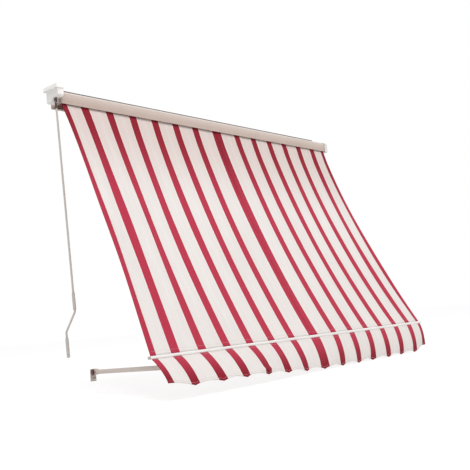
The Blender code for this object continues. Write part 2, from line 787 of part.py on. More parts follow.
def crank_line():
    """The crank's corners below the joint, as (x, z) points with the joint's middle at the origin."""
    elbow = -CRANK_SHANK - CRANK_THROW_DROP
    return [
        (0.0, -JOINT_REACH - JOINT_HUB - GAP),
        (0.0, -CRANK_SHANK),
        (-CRANK_THROW, elbow),
        (-CRANK_THROW, elbow - CRANK_TAIL),
    ]


def crank_stations():
    """The crank's (x, z, radius) stations: bent round its corners, with the collars that hold the grips."""
    start, knee, elbow, end = (Vector((x, 0, z)) for x, z in crank_line())
    stations = [(start, CRANK_RADIUS)]
    lower = knee.z + UPPER_GRIP_END
    upper = lower + UPPER_GRIP_LENGTH
    stations += collar(Vector((0, 0, upper + GAP + COLLAR_LENGTH)))
    stations += collar(Vector((0, 0, lower - GAP)))
    for before, corner, after in ((start, knee, elbow), (knee, elbow, end)):
        inward = (before - corner).normalized()
        outward = (after - corner).normalized()
        spread = inward.angle(outward)
        reach = CRANK_BEND / math.tan(spread / 2)
        centre = corner + (inward + outward).normalized() * CRANK_BEND / math.sin(spread / 2)
        first = corner + inward * reach - centre
        last = corner + outward * reach - centre
        for step in range(BEND_STEPS + 1):
            spoke = first.normalized().slerp(last.normalized(), step / BEND_STEPS)
            stations.append((centre + spoke * CRANK_BEND, CRANK_RADIUS))
    top = end.z + LOWER_GRIP_LENGTH + GAP
    stations += collar(Vector((end.x, 0, top + GAP + COLLAR_LENGTH)))
    stations.append((end, CRANK_RADIUS))
    return [(point.x, point.z, radius) for point, radius in stations]


def collar(top):
    """Four stations of a collar on a straight downward stretch, from its top."""
    bottom = top - Vector((0, 0, COLLAR_LENGTH))
    return [(top, CRANK_RADIUS), (top, COLLAR_RADIUS), (bottom, COLLAR_RADIUS), (bottom, CRANK_RADIUS)]


def build_crank(parent):
    """The bent crank with its lower fork, two turning grips and the cap on its end."""
    origin = (CRANK_X, CRANK_Y, JOINT_Z)
    turn = Matrix.Rotation(-CRANK_LEAN, 4, "X") @ Matrix.Rotation(-CRANK_TILT, 4, "Y")
    fork("lower_fork", -1, 1, parent, turn)
    add_object("crank_rod", swept(crank_stations()), "crank_enamel", origin, parent, turn)
    knee_z = crank_line()[1][1]
    end_x, end_z = crank_line()[3]
    bore = CRANK_RADIUS + GRIP_PLAY
    upper = grip(0.0, knee_z + UPPER_GRIP_END, UPPER_GRIP_LENGTH, bore)
    add_object("upper_grip", upper, "grip_plastic", origin, parent, turn)
    lower = grip(end_x, end_z + GAP, LOWER_GRIP_LENGTH - GAP, bore)
    add_object("lower_grip", lower, "grip_plastic", origin, parent, turn)
    profile = [
        (0, 0),
        (0, GRIP_RADIUS),
        (GRIP_CAP_LENGTH * HEAD_SHOULDER, GRIP_RADIUS),
        (GRIP_CAP_LENGTH, GRIP_RADIUS * HEAD_CROWN),
        (GRIP_CAP_LENGTH, 0),
    ]
    cap = turned(profile, (end_x, 0, end_z - GAP), (0, 0, -1))
    add_object("grip_cap", cap, "grip_plastic", origin, parent, turn)


def grip(x, bottom, length, bore):
    """A sleeve on the crank with softened ends, standing on a height."""
    soft = (GRIP_RADIUS - bore) / 2
    profile = [
        (0, bore),
        (0, GRIP_RADIUS - soft),
        (soft, GRIP_RADIUS),
        (length - soft, GRIP_RADIUS),
        (length, GRIP_RADIUS - soft),
        (length, bore),
        (0, bore),
    ]
    return turned(profile, (x, 0, bottom), (0, 0, 1))


def panel_place(s, v):
    """A point of the canopy's middle surface: straight down the slope, sagged to the wall and drawn in."""
    down = PANEL_LENGTH * v
    arch = 4 * v * (1 - v)
    middle = math.sqrt(max(math.sin(math.pi * s), 0.0))
    crown = EDGE_SAG_SHARE + (1 - EDGE_SAG_SHARE) * middle
    left = LEFT_GATHER * math.exp(-((s / LEFT_GATHER_SPREAD) ** 2)) * arch
    right = RIGHT_GATHER * math.exp(-(((1 - s) / RIGHT_GATHER_SPREAD) ** 2)) * arch
    fold = EDGE_FOLD * math.exp(-(((s - EDGE_FOLD_AT) / EDGE_FOLD_SPREAD) ** 2)) * arch
    sag = PANEL_SAG * arch * crown - fold
    x = -HALF_WIDTH + FABRIC_WIDTH * s + left - right
    y = CLOTH_START_Y - down * math.sin(SLOPE) + sag * math.cos(SLOPE)
    z = CLOTH_START_Z - down * math.cos(SLOPE) - sag * math.sin(SLOPE)
    return (x, y, z)


def valance_lean(s):
    """How far the valance stands out from hanging straight, more at the left end than at the right."""
    share = 1 / (1 + math.exp((s - LEAN_MIDDLE) / LEAN_SPREAD))
    return VALANCE_LEAN_RIGHT + (VALANCE_LEAN_LEFT - VALANCE_LEAN_RIGHT) * share


def hem_rise(across):
    """How far the hem rises above its tips: an arch between two stripes and a long rise at each end."""
    tips = [middle for middle, _ in stripes()][1:-1]
    nearest = min(across, FABRIC_WIDTH - across)
    if nearest < tips[0]:
        return END_LIFT * math.sin(math.pi / 2 * (1 - nearest / tips[0]))
    after = next(index for index, tip in enumerate(tips) if tip >= across)
    if after == 0:
        return 0.0
    share = (across - tips[after - 1]) / (tips[after] - tips[after - 1])
    return SCALLOP_DEPTH * max(math.sin(math.pi * share), 0.0) ** SCALLOP_ROUND


def valance_place(s, v):
    """A point of the valance's middle surface, from under the bar's front edge to its scalloped hem."""
    across = s * FABRIC_WIDTH
    length = VALANCE_LENGTH - hem_rise(across)
    first = valance_lean(s) + VALANCE_CURL / 2
    now = first - VALANCE_CURL * v
    out = length * (math.cos(now) - math.cos(first)) / VALANCE_CURL
    drop = length * (math.sin(first) - math.sin(now)) / VALANCE_CURL
    y = TIP_Y - TIP_EYE_RADIUS - GAP - CLOTH / 2
    z = BAR_BOTTOM - GAP
    return (-HALF_WIDTH + across, y - out, z - drop)


def add_cloth(name, place, columns, down, origin, parent):
    """A striped cloth sheet: cream with its red stripes as faces of a second finish."""
    cloth = add_object(name, sheet(place, columns, down, CLOTH), "cream_cloth", origin, parent, sharp=60)
    cloth.data.materials.append(material("red_stripe"))


def build_canopy():
    """The canopy's cloth from the roller down to the front bar."""
    origin = (0, CLOTH_START_Y, CLOTH_START_Z)
    holder = empty("canopy_axis", origin)
    add_cloth("canopy", panel_place, stripe_columns(1), 12, origin, holder)


def build_front_bar(parent):
    """The front bar with its two end caps, its two carriers on the arms' pins and the valance."""
    origin = (0, TIP_Y, TIP_Z)
    holder = empty("bar_axis", origin, parent)
    low_y = BAR_Y - BAR_DEPTH / 2
    high_y = BAR_Y + BAR_DEPTH / 2
    corner = BAR_CORNER
    outline = [
        (low_y, BAR_BOTTOM + corner),
        (low_y, BAR_TOP - corner),
        (low_y + corner, BAR_TOP),
        (high_y - corner, BAR_TOP),
        (high_y, BAR_TOP - corner),
        (high_y, BAR_BOTTOM + corner),
        (high_y - corner, BAR_BOTTOM),
        (low_y + corner, BAR_BOTTOM),
    ]
    add_object("front_bar", prism(outline, -BAR_HALF, BAR_HALF), "bar_enamel", origin, holder)
    for side, name in ((-1, "bar_cap_left"), (1, "bar_cap_right")):
        near = side * (BAR_HALF + GAP)
        add_object(name, prism(outline, near, near + side * BAR_CAP), "crank_enamel", origin, holder)
    for side, name in ((-1, "bar_carrier_left"), (1, "bar_carrier_right")):
        build_carrier(name, side * ARM_X, origin, holder)
    add_cloth("valance", valance_place, stripe_columns(3), 4, origin, holder)
    return holder


def eye_outline(radius, top):
    """A (y, z) outline round the arm's tip below and straight up to a height."""
    outline = []
    for step in range(EYE_STEPS + 1):
        angle = math.pi * step / EYE_STEPS
        outline.append((TIP_Y + radius * math.cos(angle), TIP_Z - radius * math.sin(angle)))
    outline += [(TIP_Y - radius, top), (TIP_Y + radius, top)]
    return outline


def build_carrier(name, x, origin, parent):
    """A carrier: two cheeks astride the arm's front eye, joined by a saddle under the bar."""
    inner = EYE_WIDTH / 2 + SIDE_PLAY
    outer = inner + CHEEK
    top = BAR_BOTTOM - GAP
    radius = TIP_EYE_RADIUS
    body = prism(eye_outline(radius, top), x - outer, x + outer)
    carrier = add_object(name, body, "crank_enamel", origin, parent)
    slot_top = top - CHEEK
    gap_low = (x - inner, TIP_Y - 3 * radius, TIP_Z - 3 * radius)
    gap_high = (x + inner, TIP_Y + 3 * radius, slot_top)
    bore = rod((x - 2 * outer, TIP_Y, TIP_Z), (1, 0, 0), 4 * outer, PIN_RADIUS + GAP)
    cut(carrier, [block(gap_low, gap_high), bore])
    add_pin(name.replace("carrier", "pin"), (x, TIP_Y, TIP_Z), outer, origin, parent)


def add_pin(name, middle, outer, origin, parent):
    """A headed cross pin through two cheeks whose outer faces lie at +-outer from its middle."""
    x, y, z = middle
    head = outer + GAP
    profile = [
        (0, 0),
        (0, PIN_HEAD_RADIUS),
        (PIN_HEAD, PIN_HEAD_RADIUS),
        (PIN_HEAD, PIN_RADIUS),
        (PIN_HEAD + 2 * head, PIN_RADIUS),
        (PIN_HEAD + 2 * head, PIN_HEAD_RADIUS),
        (2 * PIN_HEAD + 2 * head, PIN_HEAD_RADIUS),
        (2 * PIN_HEAD + 2 * head, 0),
    ]
    pin = turned(profile, (x - head - PIN_HEAD, y, z), (1, 0, 0))
    add_object(name, pin, "steel", origin, parent)


def knuckle(name, eye, radius, toward, x, origin, parent):
    """An arm's cast end: an eye round a pin, a neck, and a spigot that fits in the tube."""
    direction = Vector(toward)
    half = EYE_WIDTH / 2
    ring = rod((x - half, *eye), (1, 0, 0), EYE_WIDTH, radius, 32)
    item = add_object(name, ring, "arm_enamel", origin, parent)
    spigot = ARM_RADIUS - ARM_WALL - GAP
    slim = min(radius, half) - SIDE_PLAY
    profile = [
        (0, 0),
        (0, slim),
        (radius + SIDE_PLAY, slim),
        (NECK - GAP, ARM_RADIUS - SIDE_PLAY),
        (NECK - GAP, spigot),
        (NECK + SPIGOT_LENGTH, spigot),
        (NECK + SPIGOT_LENGTH, 0),
    ]
    stem = turned(profile, (x, *eye), direction)
    fuse(item, [stem])
    start = (x - 2 * half, *eye)
    return cut(item, [rod(start, (1, 0, 0), 4 * half, PIN_RADIUS + GAP)])


def build_arm(side, label):
    """One arm: its tube between two cast ends, hinged on its wall bracket."""
    x = side * ARM_X
    pivot = (-ARM_STANDOFF, PIVOT_Z)
    tip = (TIP_Y, TIP_Z)
    origin = (x, *pivot)
    holder = empty(f"arm_axis_{label}", origin)
    outward = Vector((0, -math.cos(ARM_RISE), math.sin(ARM_RISE)))
    knuckle(f"arm_heel_{label}", pivot, EYE_RADIUS, outward, x, origin, holder)
    knuckle(f"arm_tip_{label}", tip, TIP_EYE_RADIUS, -outward, x, origin, holder)
    start = Vector(origin) + outward * NECK
    tube = pipe(start, outward, ARM_LENGTH - 2 * NECK, ARM_RADIUS, ARM_RADIUS - ARM_WALL)
    add_object(f"arm_tube_{label}", tube, "arm_enamel", origin, holder)
    return holder


def build_wall_bracket(side, label):
    """One wall bracket: a plate with two cheeks, the arm's pin, its cap disc and two screws."""
    x = side * ARM_X
    inner = EYE_WIDTH / 2 + SIDE_PLAY
    outer = inner + CHEEK
    half = BRACKET_WIDTH / 2
    low = (x - half, -BRACKET_PLATE, PIVOT_Z - BRACKET_DOWN)
    high = (x + half, 0.0, PIVOT_Z + BRACKET_UP)
    bracket = add_object(f"wall_bracket_{label}", block(low, high), "crank_enamel")
    radius = EYE_RADIUS
    outline = []
    for step in range(EYE_STEPS + 1):
        angle = -math.pi / 2 + math.pi * step / EYE_STEPS
        outline.append((-ARM_STANDOFF - radius * math.cos(angle), PIVOT_Z + radius * math.sin(angle)))
    root = -BRACKET_PLATE / 2
    outline += [(root, PIVOT_Z + radius), (root, PIVOT_Z - radius)]
    cheeks = [prism(outline, x + s * inner, x + s * outer) for s in (-1, 1)]
    fuse(bracket, cheeks)
    cutters = [rod((x - 2 * outer, -ARM_STANDOFF, PIVOT_Z), (1, 0, 0), 4 * outer, PIN_RADIUS + GAP)]
    level = PIVOT_Z - BRACKET_DOWN + 2 * SCREW_HEAD_RADIUS
    for number, offset in enumerate((-SCREW_SPREAD, SCREW_SPREAD)):
        hole_start = (x + offset, SIDE_PLAY, level)
        depth = BRACKET_PLATE + 2 * SIDE_PLAY
        cutters.append(rod(hole_start, (0, -1, 0), depth, SCREW_RADIUS + GAP, 16))
        seat = (x + offset, -BRACKET_PLATE - GAP, level)
        add_screw(f"bracket_screw_{label}_{number + 1}", seat)
    cut(bracket, cutters)
    profile = [
        (0, 0),
        (0, CAP_DISC_RADIUS),
        (CAP_DISC_LENGTH * HEAD_SHOULDER, CAP_DISC_RADIUS),
        (CAP_DISC_LENGTH, CAP_DISC_RADIUS * HEAD_CROWN),
        (CAP_DISC_LENGTH, 0),
    ]
    face = x + side * (outer + GAP)
    disc = turned(profile, (face, -ARM_STANDOFF, PIVOT_Z), (side, 0, 0), 32)
    item = add_object(f"pivot_cap_{label}", disc, "maroon_plastic", (face, -ARM_STANDOFF, PIVOT_Z))
    pin_end = outer + CAP_DISC_LENGTH / 2
    socket_start = (face - side * SIDE_PLAY, -ARM_STANDOFF, PIVOT_Z)
    socket_depth = CAP_DISC_LENGTH / 2 + SIDE_PLAY + GAP
    cut(item, [rod(socket_start, (side, 0, 0), socket_depth, PIN_RADIUS + GAP)])
    head = outer + GAP
    profile = [
        (0, 0),
        (0, PIN_HEAD_RADIUS),
        (PIN_HEAD, PIN_HEAD_RADIUS),
        (PIN_HEAD, PIN_RADIUS),
        (PIN_HEAD + head + pin_end, PIN_RADIUS),
        (PIN_HEAD + head + pin_end, 0),
    ]
    start = (x - side * (head + PIN_HEAD), -ARM_STANDOFF, PIVOT_Z)
    add_object(f"pivot_pin_{label}", turned(profile, start, (side, 0, 0)), "steel", start)


def main():
    """Builds the whole awning in its own frame."""
    clear_scene()
    build_hood()
    build_gear_cap()
    build_end_cap()
    build_bearings()
    build_roller()
    worm = build_worm()
    cross = build_cross(worm)
    build_crank(cross)
    build_canopy()
    left = build_arm(-1, "left")
    build_arm(1, "right")
    build_front_bar(left)
    for side, label in ((-1, "left"), (1, "right")):
        build_wall_bracket(side, label)


if __name__ == "__main__":
    main()
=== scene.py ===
"""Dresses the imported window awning: cloth, stitches, screws, finishes, light and camera.

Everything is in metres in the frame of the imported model. +X runs along the width, the wall is the
plane y = 0, and the awning stands out towards -Y. The origin is the middle of the hood's back on
the wall.
"""

from __future__ import annotations

import json
import logging
import math
from collections.abc import Callable, Sequence
from dataclasses import dataclass, field
from enum import Enum

import bmesh
import bpy
from mathutils import Matrix, Vector

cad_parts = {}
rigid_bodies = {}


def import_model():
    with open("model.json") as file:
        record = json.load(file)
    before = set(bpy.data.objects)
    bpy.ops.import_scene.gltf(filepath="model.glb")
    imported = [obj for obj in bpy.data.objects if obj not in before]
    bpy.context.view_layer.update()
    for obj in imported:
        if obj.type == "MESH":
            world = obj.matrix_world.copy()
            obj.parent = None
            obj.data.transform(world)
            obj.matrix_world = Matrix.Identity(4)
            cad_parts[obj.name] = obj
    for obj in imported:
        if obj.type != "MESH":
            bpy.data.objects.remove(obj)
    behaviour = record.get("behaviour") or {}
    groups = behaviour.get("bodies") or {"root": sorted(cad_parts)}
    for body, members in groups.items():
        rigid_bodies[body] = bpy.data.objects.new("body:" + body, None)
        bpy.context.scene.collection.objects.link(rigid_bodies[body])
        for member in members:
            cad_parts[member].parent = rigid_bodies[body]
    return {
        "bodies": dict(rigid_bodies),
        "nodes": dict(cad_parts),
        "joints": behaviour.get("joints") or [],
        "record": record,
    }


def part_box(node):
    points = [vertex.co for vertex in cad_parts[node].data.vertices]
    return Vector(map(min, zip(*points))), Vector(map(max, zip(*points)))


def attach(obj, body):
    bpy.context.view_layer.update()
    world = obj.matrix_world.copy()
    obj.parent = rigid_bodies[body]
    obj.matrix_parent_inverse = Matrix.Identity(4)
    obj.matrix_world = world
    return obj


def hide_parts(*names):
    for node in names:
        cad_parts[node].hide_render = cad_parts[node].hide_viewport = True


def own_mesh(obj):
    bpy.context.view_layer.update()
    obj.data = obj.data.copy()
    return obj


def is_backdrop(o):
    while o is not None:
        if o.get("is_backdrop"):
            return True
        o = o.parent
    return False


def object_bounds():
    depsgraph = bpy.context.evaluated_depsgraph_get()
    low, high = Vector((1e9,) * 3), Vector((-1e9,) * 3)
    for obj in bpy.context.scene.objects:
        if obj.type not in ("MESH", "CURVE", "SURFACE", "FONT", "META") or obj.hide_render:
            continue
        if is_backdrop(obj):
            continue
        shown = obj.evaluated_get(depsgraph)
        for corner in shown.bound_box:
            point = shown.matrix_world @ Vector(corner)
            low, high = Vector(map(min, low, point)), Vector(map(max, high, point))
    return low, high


LOG = logging.getLogger("awning")

Triple = tuple[float, float, float]
Colour = Triple
Place = Callable[[float, float], Vector]

CLOTH_WIDTH = 2.400
CLOTH_THICKNESS = 0.0014
MERGE_DISTANCE = 0.00001
WHITE: Colour = (1.0, 1.0, 1.0)


class Across(Enum):
    """Where a cloth's stripes are read from."""

    FLAT_MAP = "the cloth's own map, in metres across and down"
    ROLL_AXIS = "the place along the roller"


class Signal:
    """A socket of a material's nodes that Python's operators can work on."""

    def __init__(self, shader: Shader, socket: bpy.types.NodeSocket) -> None:
        """Wraps an output socket of a shader's nodes."""
        self.shader = shader
        self.socket = socket

    def maths(self, operation: str, *others: Signal | float, swapped: bool = False) -> Signal:
        """Adds one Math node.

        Args:
            operation: the Math node's operation.
            others: its further values.
            swapped: whether this signal is the second value.

        Returns:
            The node's result.
        """
        values = [self, *others]
        if swapped:
            values.reverse()
        wired = dict(enumerate(values))
        return self.shader.node("ShaderNodeMath", {"operation": operation}, wired)

    def __add__(self, other: Signal | float) -> Signal:
        """Adds."""
        return self.maths("ADD", other)

    def __radd__(self, other: float) -> Signal:
        """Adds, reflected."""
        return self.maths("ADD", other, swapped=True)

    def __sub__(self, other: Signal | float) -> Signal:
        """Subtracts."""
        return self.maths("SUBTRACT", other)

    def __rsub__(self, other: float) -> Signal:
        """Subtracts, reflected."""
        return self.maths("SUBTRACT", other, swapped=True)

    def __mul__(self, other: Signal | float) -> Signal:
        """Multiplies."""
        return self.maths("MULTIPLY", other)

    def __rmul__(self, other: float) -> Signal:
        """Multiplies, reflected."""
        return self.maths("MULTIPLY", other, swapped=True)

    def __truediv__(self, other: Signal | float) -> Signal:
        """Divides."""
        return self.maths("DIVIDE", other)

    def __rtruediv__(self, other: float) -> Signal:
        """Divides, reflected."""
        return self.maths("DIVIDE", other, swapped=True)

    def size(self) -> Signal:
        """Drops the sign."""
        return self.maths("ABSOLUTE")

    def fraction(self) -> Signal:
        """Keeps what is past the last whole number."""
        return self.maths("FRACT")

    def wave(self) -> Signal:
        """Takes the sine."""
        return self.maths("SINE")

    def most(self, other: Signal | float) -> Signal:
        """Takes the larger of two values."""
        return self.maths("MAXIMUM", other)

    def above(self, level: float) -> Signal:
        """Gives 1 above a level and 0 below it."""
        return self.maths("GREATER_THAN", level)

    def rise(self, low: float, high: float) -> Signal:
        """Goes smoothly from 0 at the low level to 1 at the high one."""
        settings = {"interpolation_type": "SMOOTHSTEP"}
        return self.shader.node("ShaderNodeMapRange", settings, {"Value": self, 1: low, 2: high})


class Shader:
    """A node material built from Python expressions."""

    def __init__(self, name: str) -> None:
        """Starts an empty material with a Principled shader.

        Args:
            name: the material's name.
        """
        self.material = bpy.data.materials.new(name)
        self.material.use_nodes = True
        self.tree = self.material.node_tree
        self.surface = self.tree.nodes["Principled BSDF"]

    def node(self, kind: str, settings: dict, inputs: dict, output: int | str = 0) -> Signal:
        """Adds a node.

        Args:
            kind: the node's type.
            settings: attributes set before its sockets are filled.
            inputs: values or signals by socket name or number.
            output: which output to give back.

        Returns:
            That output.
        """
        made = self.tree.nodes.new(kind)
        for key, value in settings.items():
            setattr(made, key, value)
        for key, value in inputs.items():
            self.fill(made.inputs[key], value)
        return Signal(self, made.outputs[output])

    def fill(self, socket: bpy.types.NodeSocket, value: object) -> None:
        """Links a signal to a socket, or sets the socket's own value.

        Args:
            socket: the input to fill.
            value: a signal, a number, or a colour of three numbers.
        """
        if isinstance(value, Signal):
            self.tree.links.new(value.socket, socket)
        elif socket.type == "RGBA" and isinstance(value, tuple):
            socket.default_value = (*value, 1.0)
        else:
            socket.default_value = value

    def place(self) -> Signal:
        """Gives the object's own coordinates."""
        return self.node("ShaderNodeTexCoord", {}, {}, "Object")

    def flat_map(self) -> Signal:
        """Gives the cloth's own map."""
        return self.node("ShaderNodeUVMap", {"uv_map": "cloth"}, {})

    def part(self, vector: Signal, axis: str) -> Signal:
        """Takes one coordinate out of a vector."""
        return self.node("ShaderNodeSeparateXYZ", {}, {0: vector}, axis)

    def noise(self, vector: Signal, scale: float | Triple, detail: float) -> Signal:
        """Adds a noise from about 0 to 1.

        Args:
            vector: where the noise is read.
            scale: lumps for each metre, one number for all axes or one for each.
            detail: how many finer layers it has.

        Returns:
            The noise's value.
        """
        if isinstance(scale, tuple):
            stretch = {0: vector, 1: scale}
            vector = self.node("ShaderNodeVectorMath", {"operation": "MULTIPLY"}, stretch)
            scale = 1.0
        inputs = {"Vector": vector, "Scale": scale, "Detail": detail}
        return self.node("ShaderNodeTexNoise", {}, inputs, "Fac")

    def cells(self, vector: Signal, scale: float) -> Signal:
        """Adds cells of random grey, such as zinc flakes."""
        found = self.node("ShaderNodeTexVoronoi", {}, {"Vector": vector, "Scale": scale}, "Color")
        return self.part(found, "X")

    def mix(self, share: Signal | float, low: object, high: object) -> Signal:
        """Mixes two colours or signals, 0 for the low one and 1 for the high one."""
        settings = {"data_type": "RGBA", "clamp_factor": True}
        return self.node("ShaderNodeMix", settings, {0: share, 6: low, 7: high}, 2)

    def relief(self, height: Signal, depth: float, strength: float) -> None:
        """Bumps the surface, with the depth in metres and the share of it that shows."""
        inputs = {"Height": height, "Distance": depth, "Strength": strength}
        self.set(Normal=self.node("ShaderNodeBump", {}, inputs, "Normal"))

    def set(self, **values: object) -> None:
        """Fills the surface node's sockets, with _ for a space in their names."""
        for name, value in values.items():
            self.fill(self.surface.inputs[name.replace("_", " ")], value)


class WorldShader(Shader):
    """The world's nodes, built in the same way."""

    def __init__(self, name: str) -> None:
        """Starts a world with a Background shader and gives it to the scene.

        Args:
            name: the world's name.
        """
        world = bpy.data.worlds.new(name)
        bpy.context.scene.world = world
        world.use_nodes = True
        self.tree = world.node_tree
        self.surface = self.tree.nodes["Background"]


@dataclass(frozen=True)
class PowderCoat:
    """Baked enamel on metal: fine orange peel, long drawing lines, dust and rubbed patches.

    The lit_top colour is painted light: none of it at the height lit_top_from and all of it at
    lit_top_to, a painted highlight towards the top over painted shade at the lip.
    """

    name: str
    colour: Colour
    dusty: Colour
    roughness: float = 0.42
    lit_top: Colour | None = None
    lit_top_from: float = -0.045
    lit_top_to: float = 0.055
    lines: Triple = (0.6, 160.0, 160.0)
    peel_scale: float = 700.0
    peel_depth: float = 0.00012

    def make(self) -> bpy.types.Material:
        """Builds the material.

        Returns:
            The material.
        """
        shader = Shader(self.name)
        place = shader.place()
        patches = shader.noise(place, scale=7.0, detail=4.0)
        streaks = shader.noise(place, scale=self.lines, detail=3.0)
        specks = shader.noise(place, scale=420.0, detail=1.0).rise(0.66, 0.74)
        soil = patches.rise(0.40, 0.75) * 0.55 + streaks.rise(0.50, 0.80) * 0.35 + specks * 0.25
        coat = shader.mix(soil, self.colour, self.dusty)
        if self.lit_top is not None:
            # Painted light and shade: the coat turns lighter with height, lighter at the top and
            # darker at the lip.
            lit_share = shader.part(place, "Z").rise(self.lit_top_from, self.lit_top_to)
            coat = shader.mix(lit_share, coat, self.lit_top)
        shader.set(Base_Color=coat)
        shader.set(Roughness=self.roughness + soil * 0.16)
        peel = shader.noise(place, scale=self.peel_scale, detail=2.0)
        shader.relief(peel + streaks * 0.6, depth=self.peel_depth, strength=0.35)
        return shader.material


@dataclass(frozen=True)
class MouldedPlastic:
    """Moulded plastic: eroded grain, slight clouding and shinier rubbed spots."""

    name: str
    colour: Colour
    clouded: Colour
    roughness: float = 0.45
    grain_scale: float = 1300.0
    grain_depth: float = 0.0001

    def make(self) -> bpy.types.Material:
        """Builds the material.

        Returns:
            The material.
        """
        shader = Shader(self.name)
        place = shader.place()
        clouds = shader.noise(place, scale=16.0, detail=4.0)
        rubbed = shader.noise(place, scale=45.0, detail=3.0).rise(0.55, 0.72)
        shader.set(Base_Color=shader.mix(clouds.rise(0.35, 0.75), self.colour, self.clouded))
        shader.set(Roughness=self.roughness + clouds * 0.10 - rubbed * 0.12)
        grain = shader.noise(place, scale=self.grain_scale, detail=1.0)
        waves = shader.noise(place, scale=90.0, detail=2.0)
        shader.relief(grain + waves * 0.5, depth=self.grain_depth, strength=0.4)
        return shader.material


@dataclass(frozen=True)
class RingedPlastic:
    """A moulded grip with rings one above another."""

    name: str
    colour: Colour
    worn: Colour
    roughness: float = 0.48
    ring_pitch: float = 0.006

    def make(self) -> bpy.types.Material:
        """Builds the material.

        Returns:
            The material.
        """
        shader = Shader(self.name)
        place = shader.place()
        along = shader.part(place, "Z") / self.ring_pitch * math.tau
        rings = along.wave() * 0.5 + 0.5
        wear = shader.noise(place, scale=140.0, detail=3.0).rise(0.50, 0.75)
        shade = wear * 0.6 + rings * 0.4
        shader.set(Base_Color=shader.mix(shade, self.colour, self.worn))
        shader.set(Roughness=self.roughness + wear * 0.12)
        grain = shader.noise(place, scale=900.0, detail=1.0)
        shader.relief(rings + grain * 0.3, depth=0.0004, strength=0.45)
        return shader.material


@dataclass(frozen=True)
class ZincSteel:
    """Zinc-plated steel: faint flakes, drawn lines and dull patches."""

    name: str
    bright: Colour = (0.66, 0.66, 0.68)
    dull: Colour = (0.44, 0.45, 0.47)
    lines: Triple = (60.0, 900.0, 900.0)

    def make(self) -> bpy.types.Material:
        """Builds the material.

        Returns:
            The material.
        """
        shader = Shader(self.name)
        place = shader.place()
        flakes = shader.cells(place, 260.0)
        patches = shader.noise(place, scale=60.0, detail=4.0)
        drawn = shader.noise(place, scale=self.lines, detail=2.0)
        tone = flakes * 0.45 + patches.rise(0.35, 0.75) * 0.55
        shader.set(Base_Color=shader.mix(tone, self.bright, self.dull), Metallic=1.0)
        shader.set(Roughness=0.26 + patches * 0.22 + drawn * 0.10)
        shader.relief(drawn, depth=0.00006, strength=0.4)
        return shader.material


@dataclass(frozen=True)
class SealRubber:
    """Extruded rubber: dark, matt, dusty along its run."""

    name: str
    colour: Colour = (0.13, 0.12, 0.12)
    dusty: Colour = (0.27, 0.25, 0.24)

    def make(self) -> bpy.types.Material:
        """Builds the material.

        Returns:
            The material.
        """
        shader = Shader(self.name)
        place = shader.place()
        dust = shader.noise(place, scale=(3.0, 60.0, 60.0), detail=4.0).rise(0.45, 0.75)
        shader.set(Base_Color=shader.mix(dust, self.colour, self.dusty))
        shader.set(Roughness=0.72 + dust * 0.15)
        shader.relief(shader.noise(place, scale=600.0, detail=2.0), depth=0.0001, strength=0.5)
        return shader.material


@dataclass(frozen=True)
class Stripes:
    """The cloth's stripe pattern, mirrored about the middle seam, in metres."""

    width: float = CLOTH_WIDTH
    first: float = 0.151
    pitch: float = 0.1704
    stripe: float = 0.054
    seam_stripe: float = 0.082
    edge_stripe: float = 0.034
    each_side: int = 6
    pin_offsets: tuple[float, ...] = (0.037, 0.047, 0.057, 0.068)
    pin_width: float = 0.0030

    def middles(self) -> list[float]:
        """Gives every stripe's middle, with the edge stripes at the edges themselves.

        Returns:
            Metres from the left edge, in order.
        """
        left = [self.first + number * self.pitch for number in range(self.each_side)]
        right = [self.width - middle for middle in reversed(left)]
        return [0.0, *left, self.width / 2, *right, self.width]

    def off_middle(self, across: Signal) -> Signal:
        """Gives the distance from the cloth's middle."""
        return (across - self.width / 2).size()

    def off_stripe(self, off_middle: Signal) -> Signal:
        """Gives the distance from the middle of the nearest of the evenly spaced stripes.

        Args:
            off_middle: the distance from the cloth's middle.

        Returns:
            The distance, as if these stripes had no end.
        """
        nearest = self.width / 2 - self.first - (self.each_side - 1) * self.pitch
        phase = ((off_middle - nearest) / self.pitch + 0.5).fraction() - 0.5
        return phase.size() * self.pitch

    def mask(self, across: Signal, softness: float) -> Signal:
        """Marks the red stripes.

        Args:
            across: metres from the cloth's left edge.
            softness: how far a stripe's edge blurs, in metres.

        Returns:
            1 in a stripe and 0 between stripes.
        """
        off_middle = self.off_middle(across)
        half = self.stripe / 2
        regular = 1.0 - self.off_stripe(off_middle).rise(half - softness, half + softness)
        regular = regular * off_middle.above(self.seam_stripe)
        seam_half = self.seam_stripe / 2
        seam = 1.0 - off_middle.rise(seam_half - softness, seam_half + softness)
        edge_start = self.width / 2 - self.edge_stripe
        edge = off_middle.rise(edge_start - softness, edge_start + softness)
        return regular.most(seam).most(edge)

    def pin_lines(self, across: Signal) -> Signal:
        """Marks the fine woven lines beside the red stripes.

        Args:
            across: metres from the cloth's left edge.

        Returns:
            1 in a line and 0 beside it.
        """
        off_stripe = self.off_stripe(self.off_middle(across))
        half = self.pin_width / 2
        lines = None
        for offset in self.pin_offsets:
            line = 1.0 - (off_stripe - offset).size().rise(half * 0.5, half * 1.5)
            lines = line if lines is None else lines.most(line)
        return lines


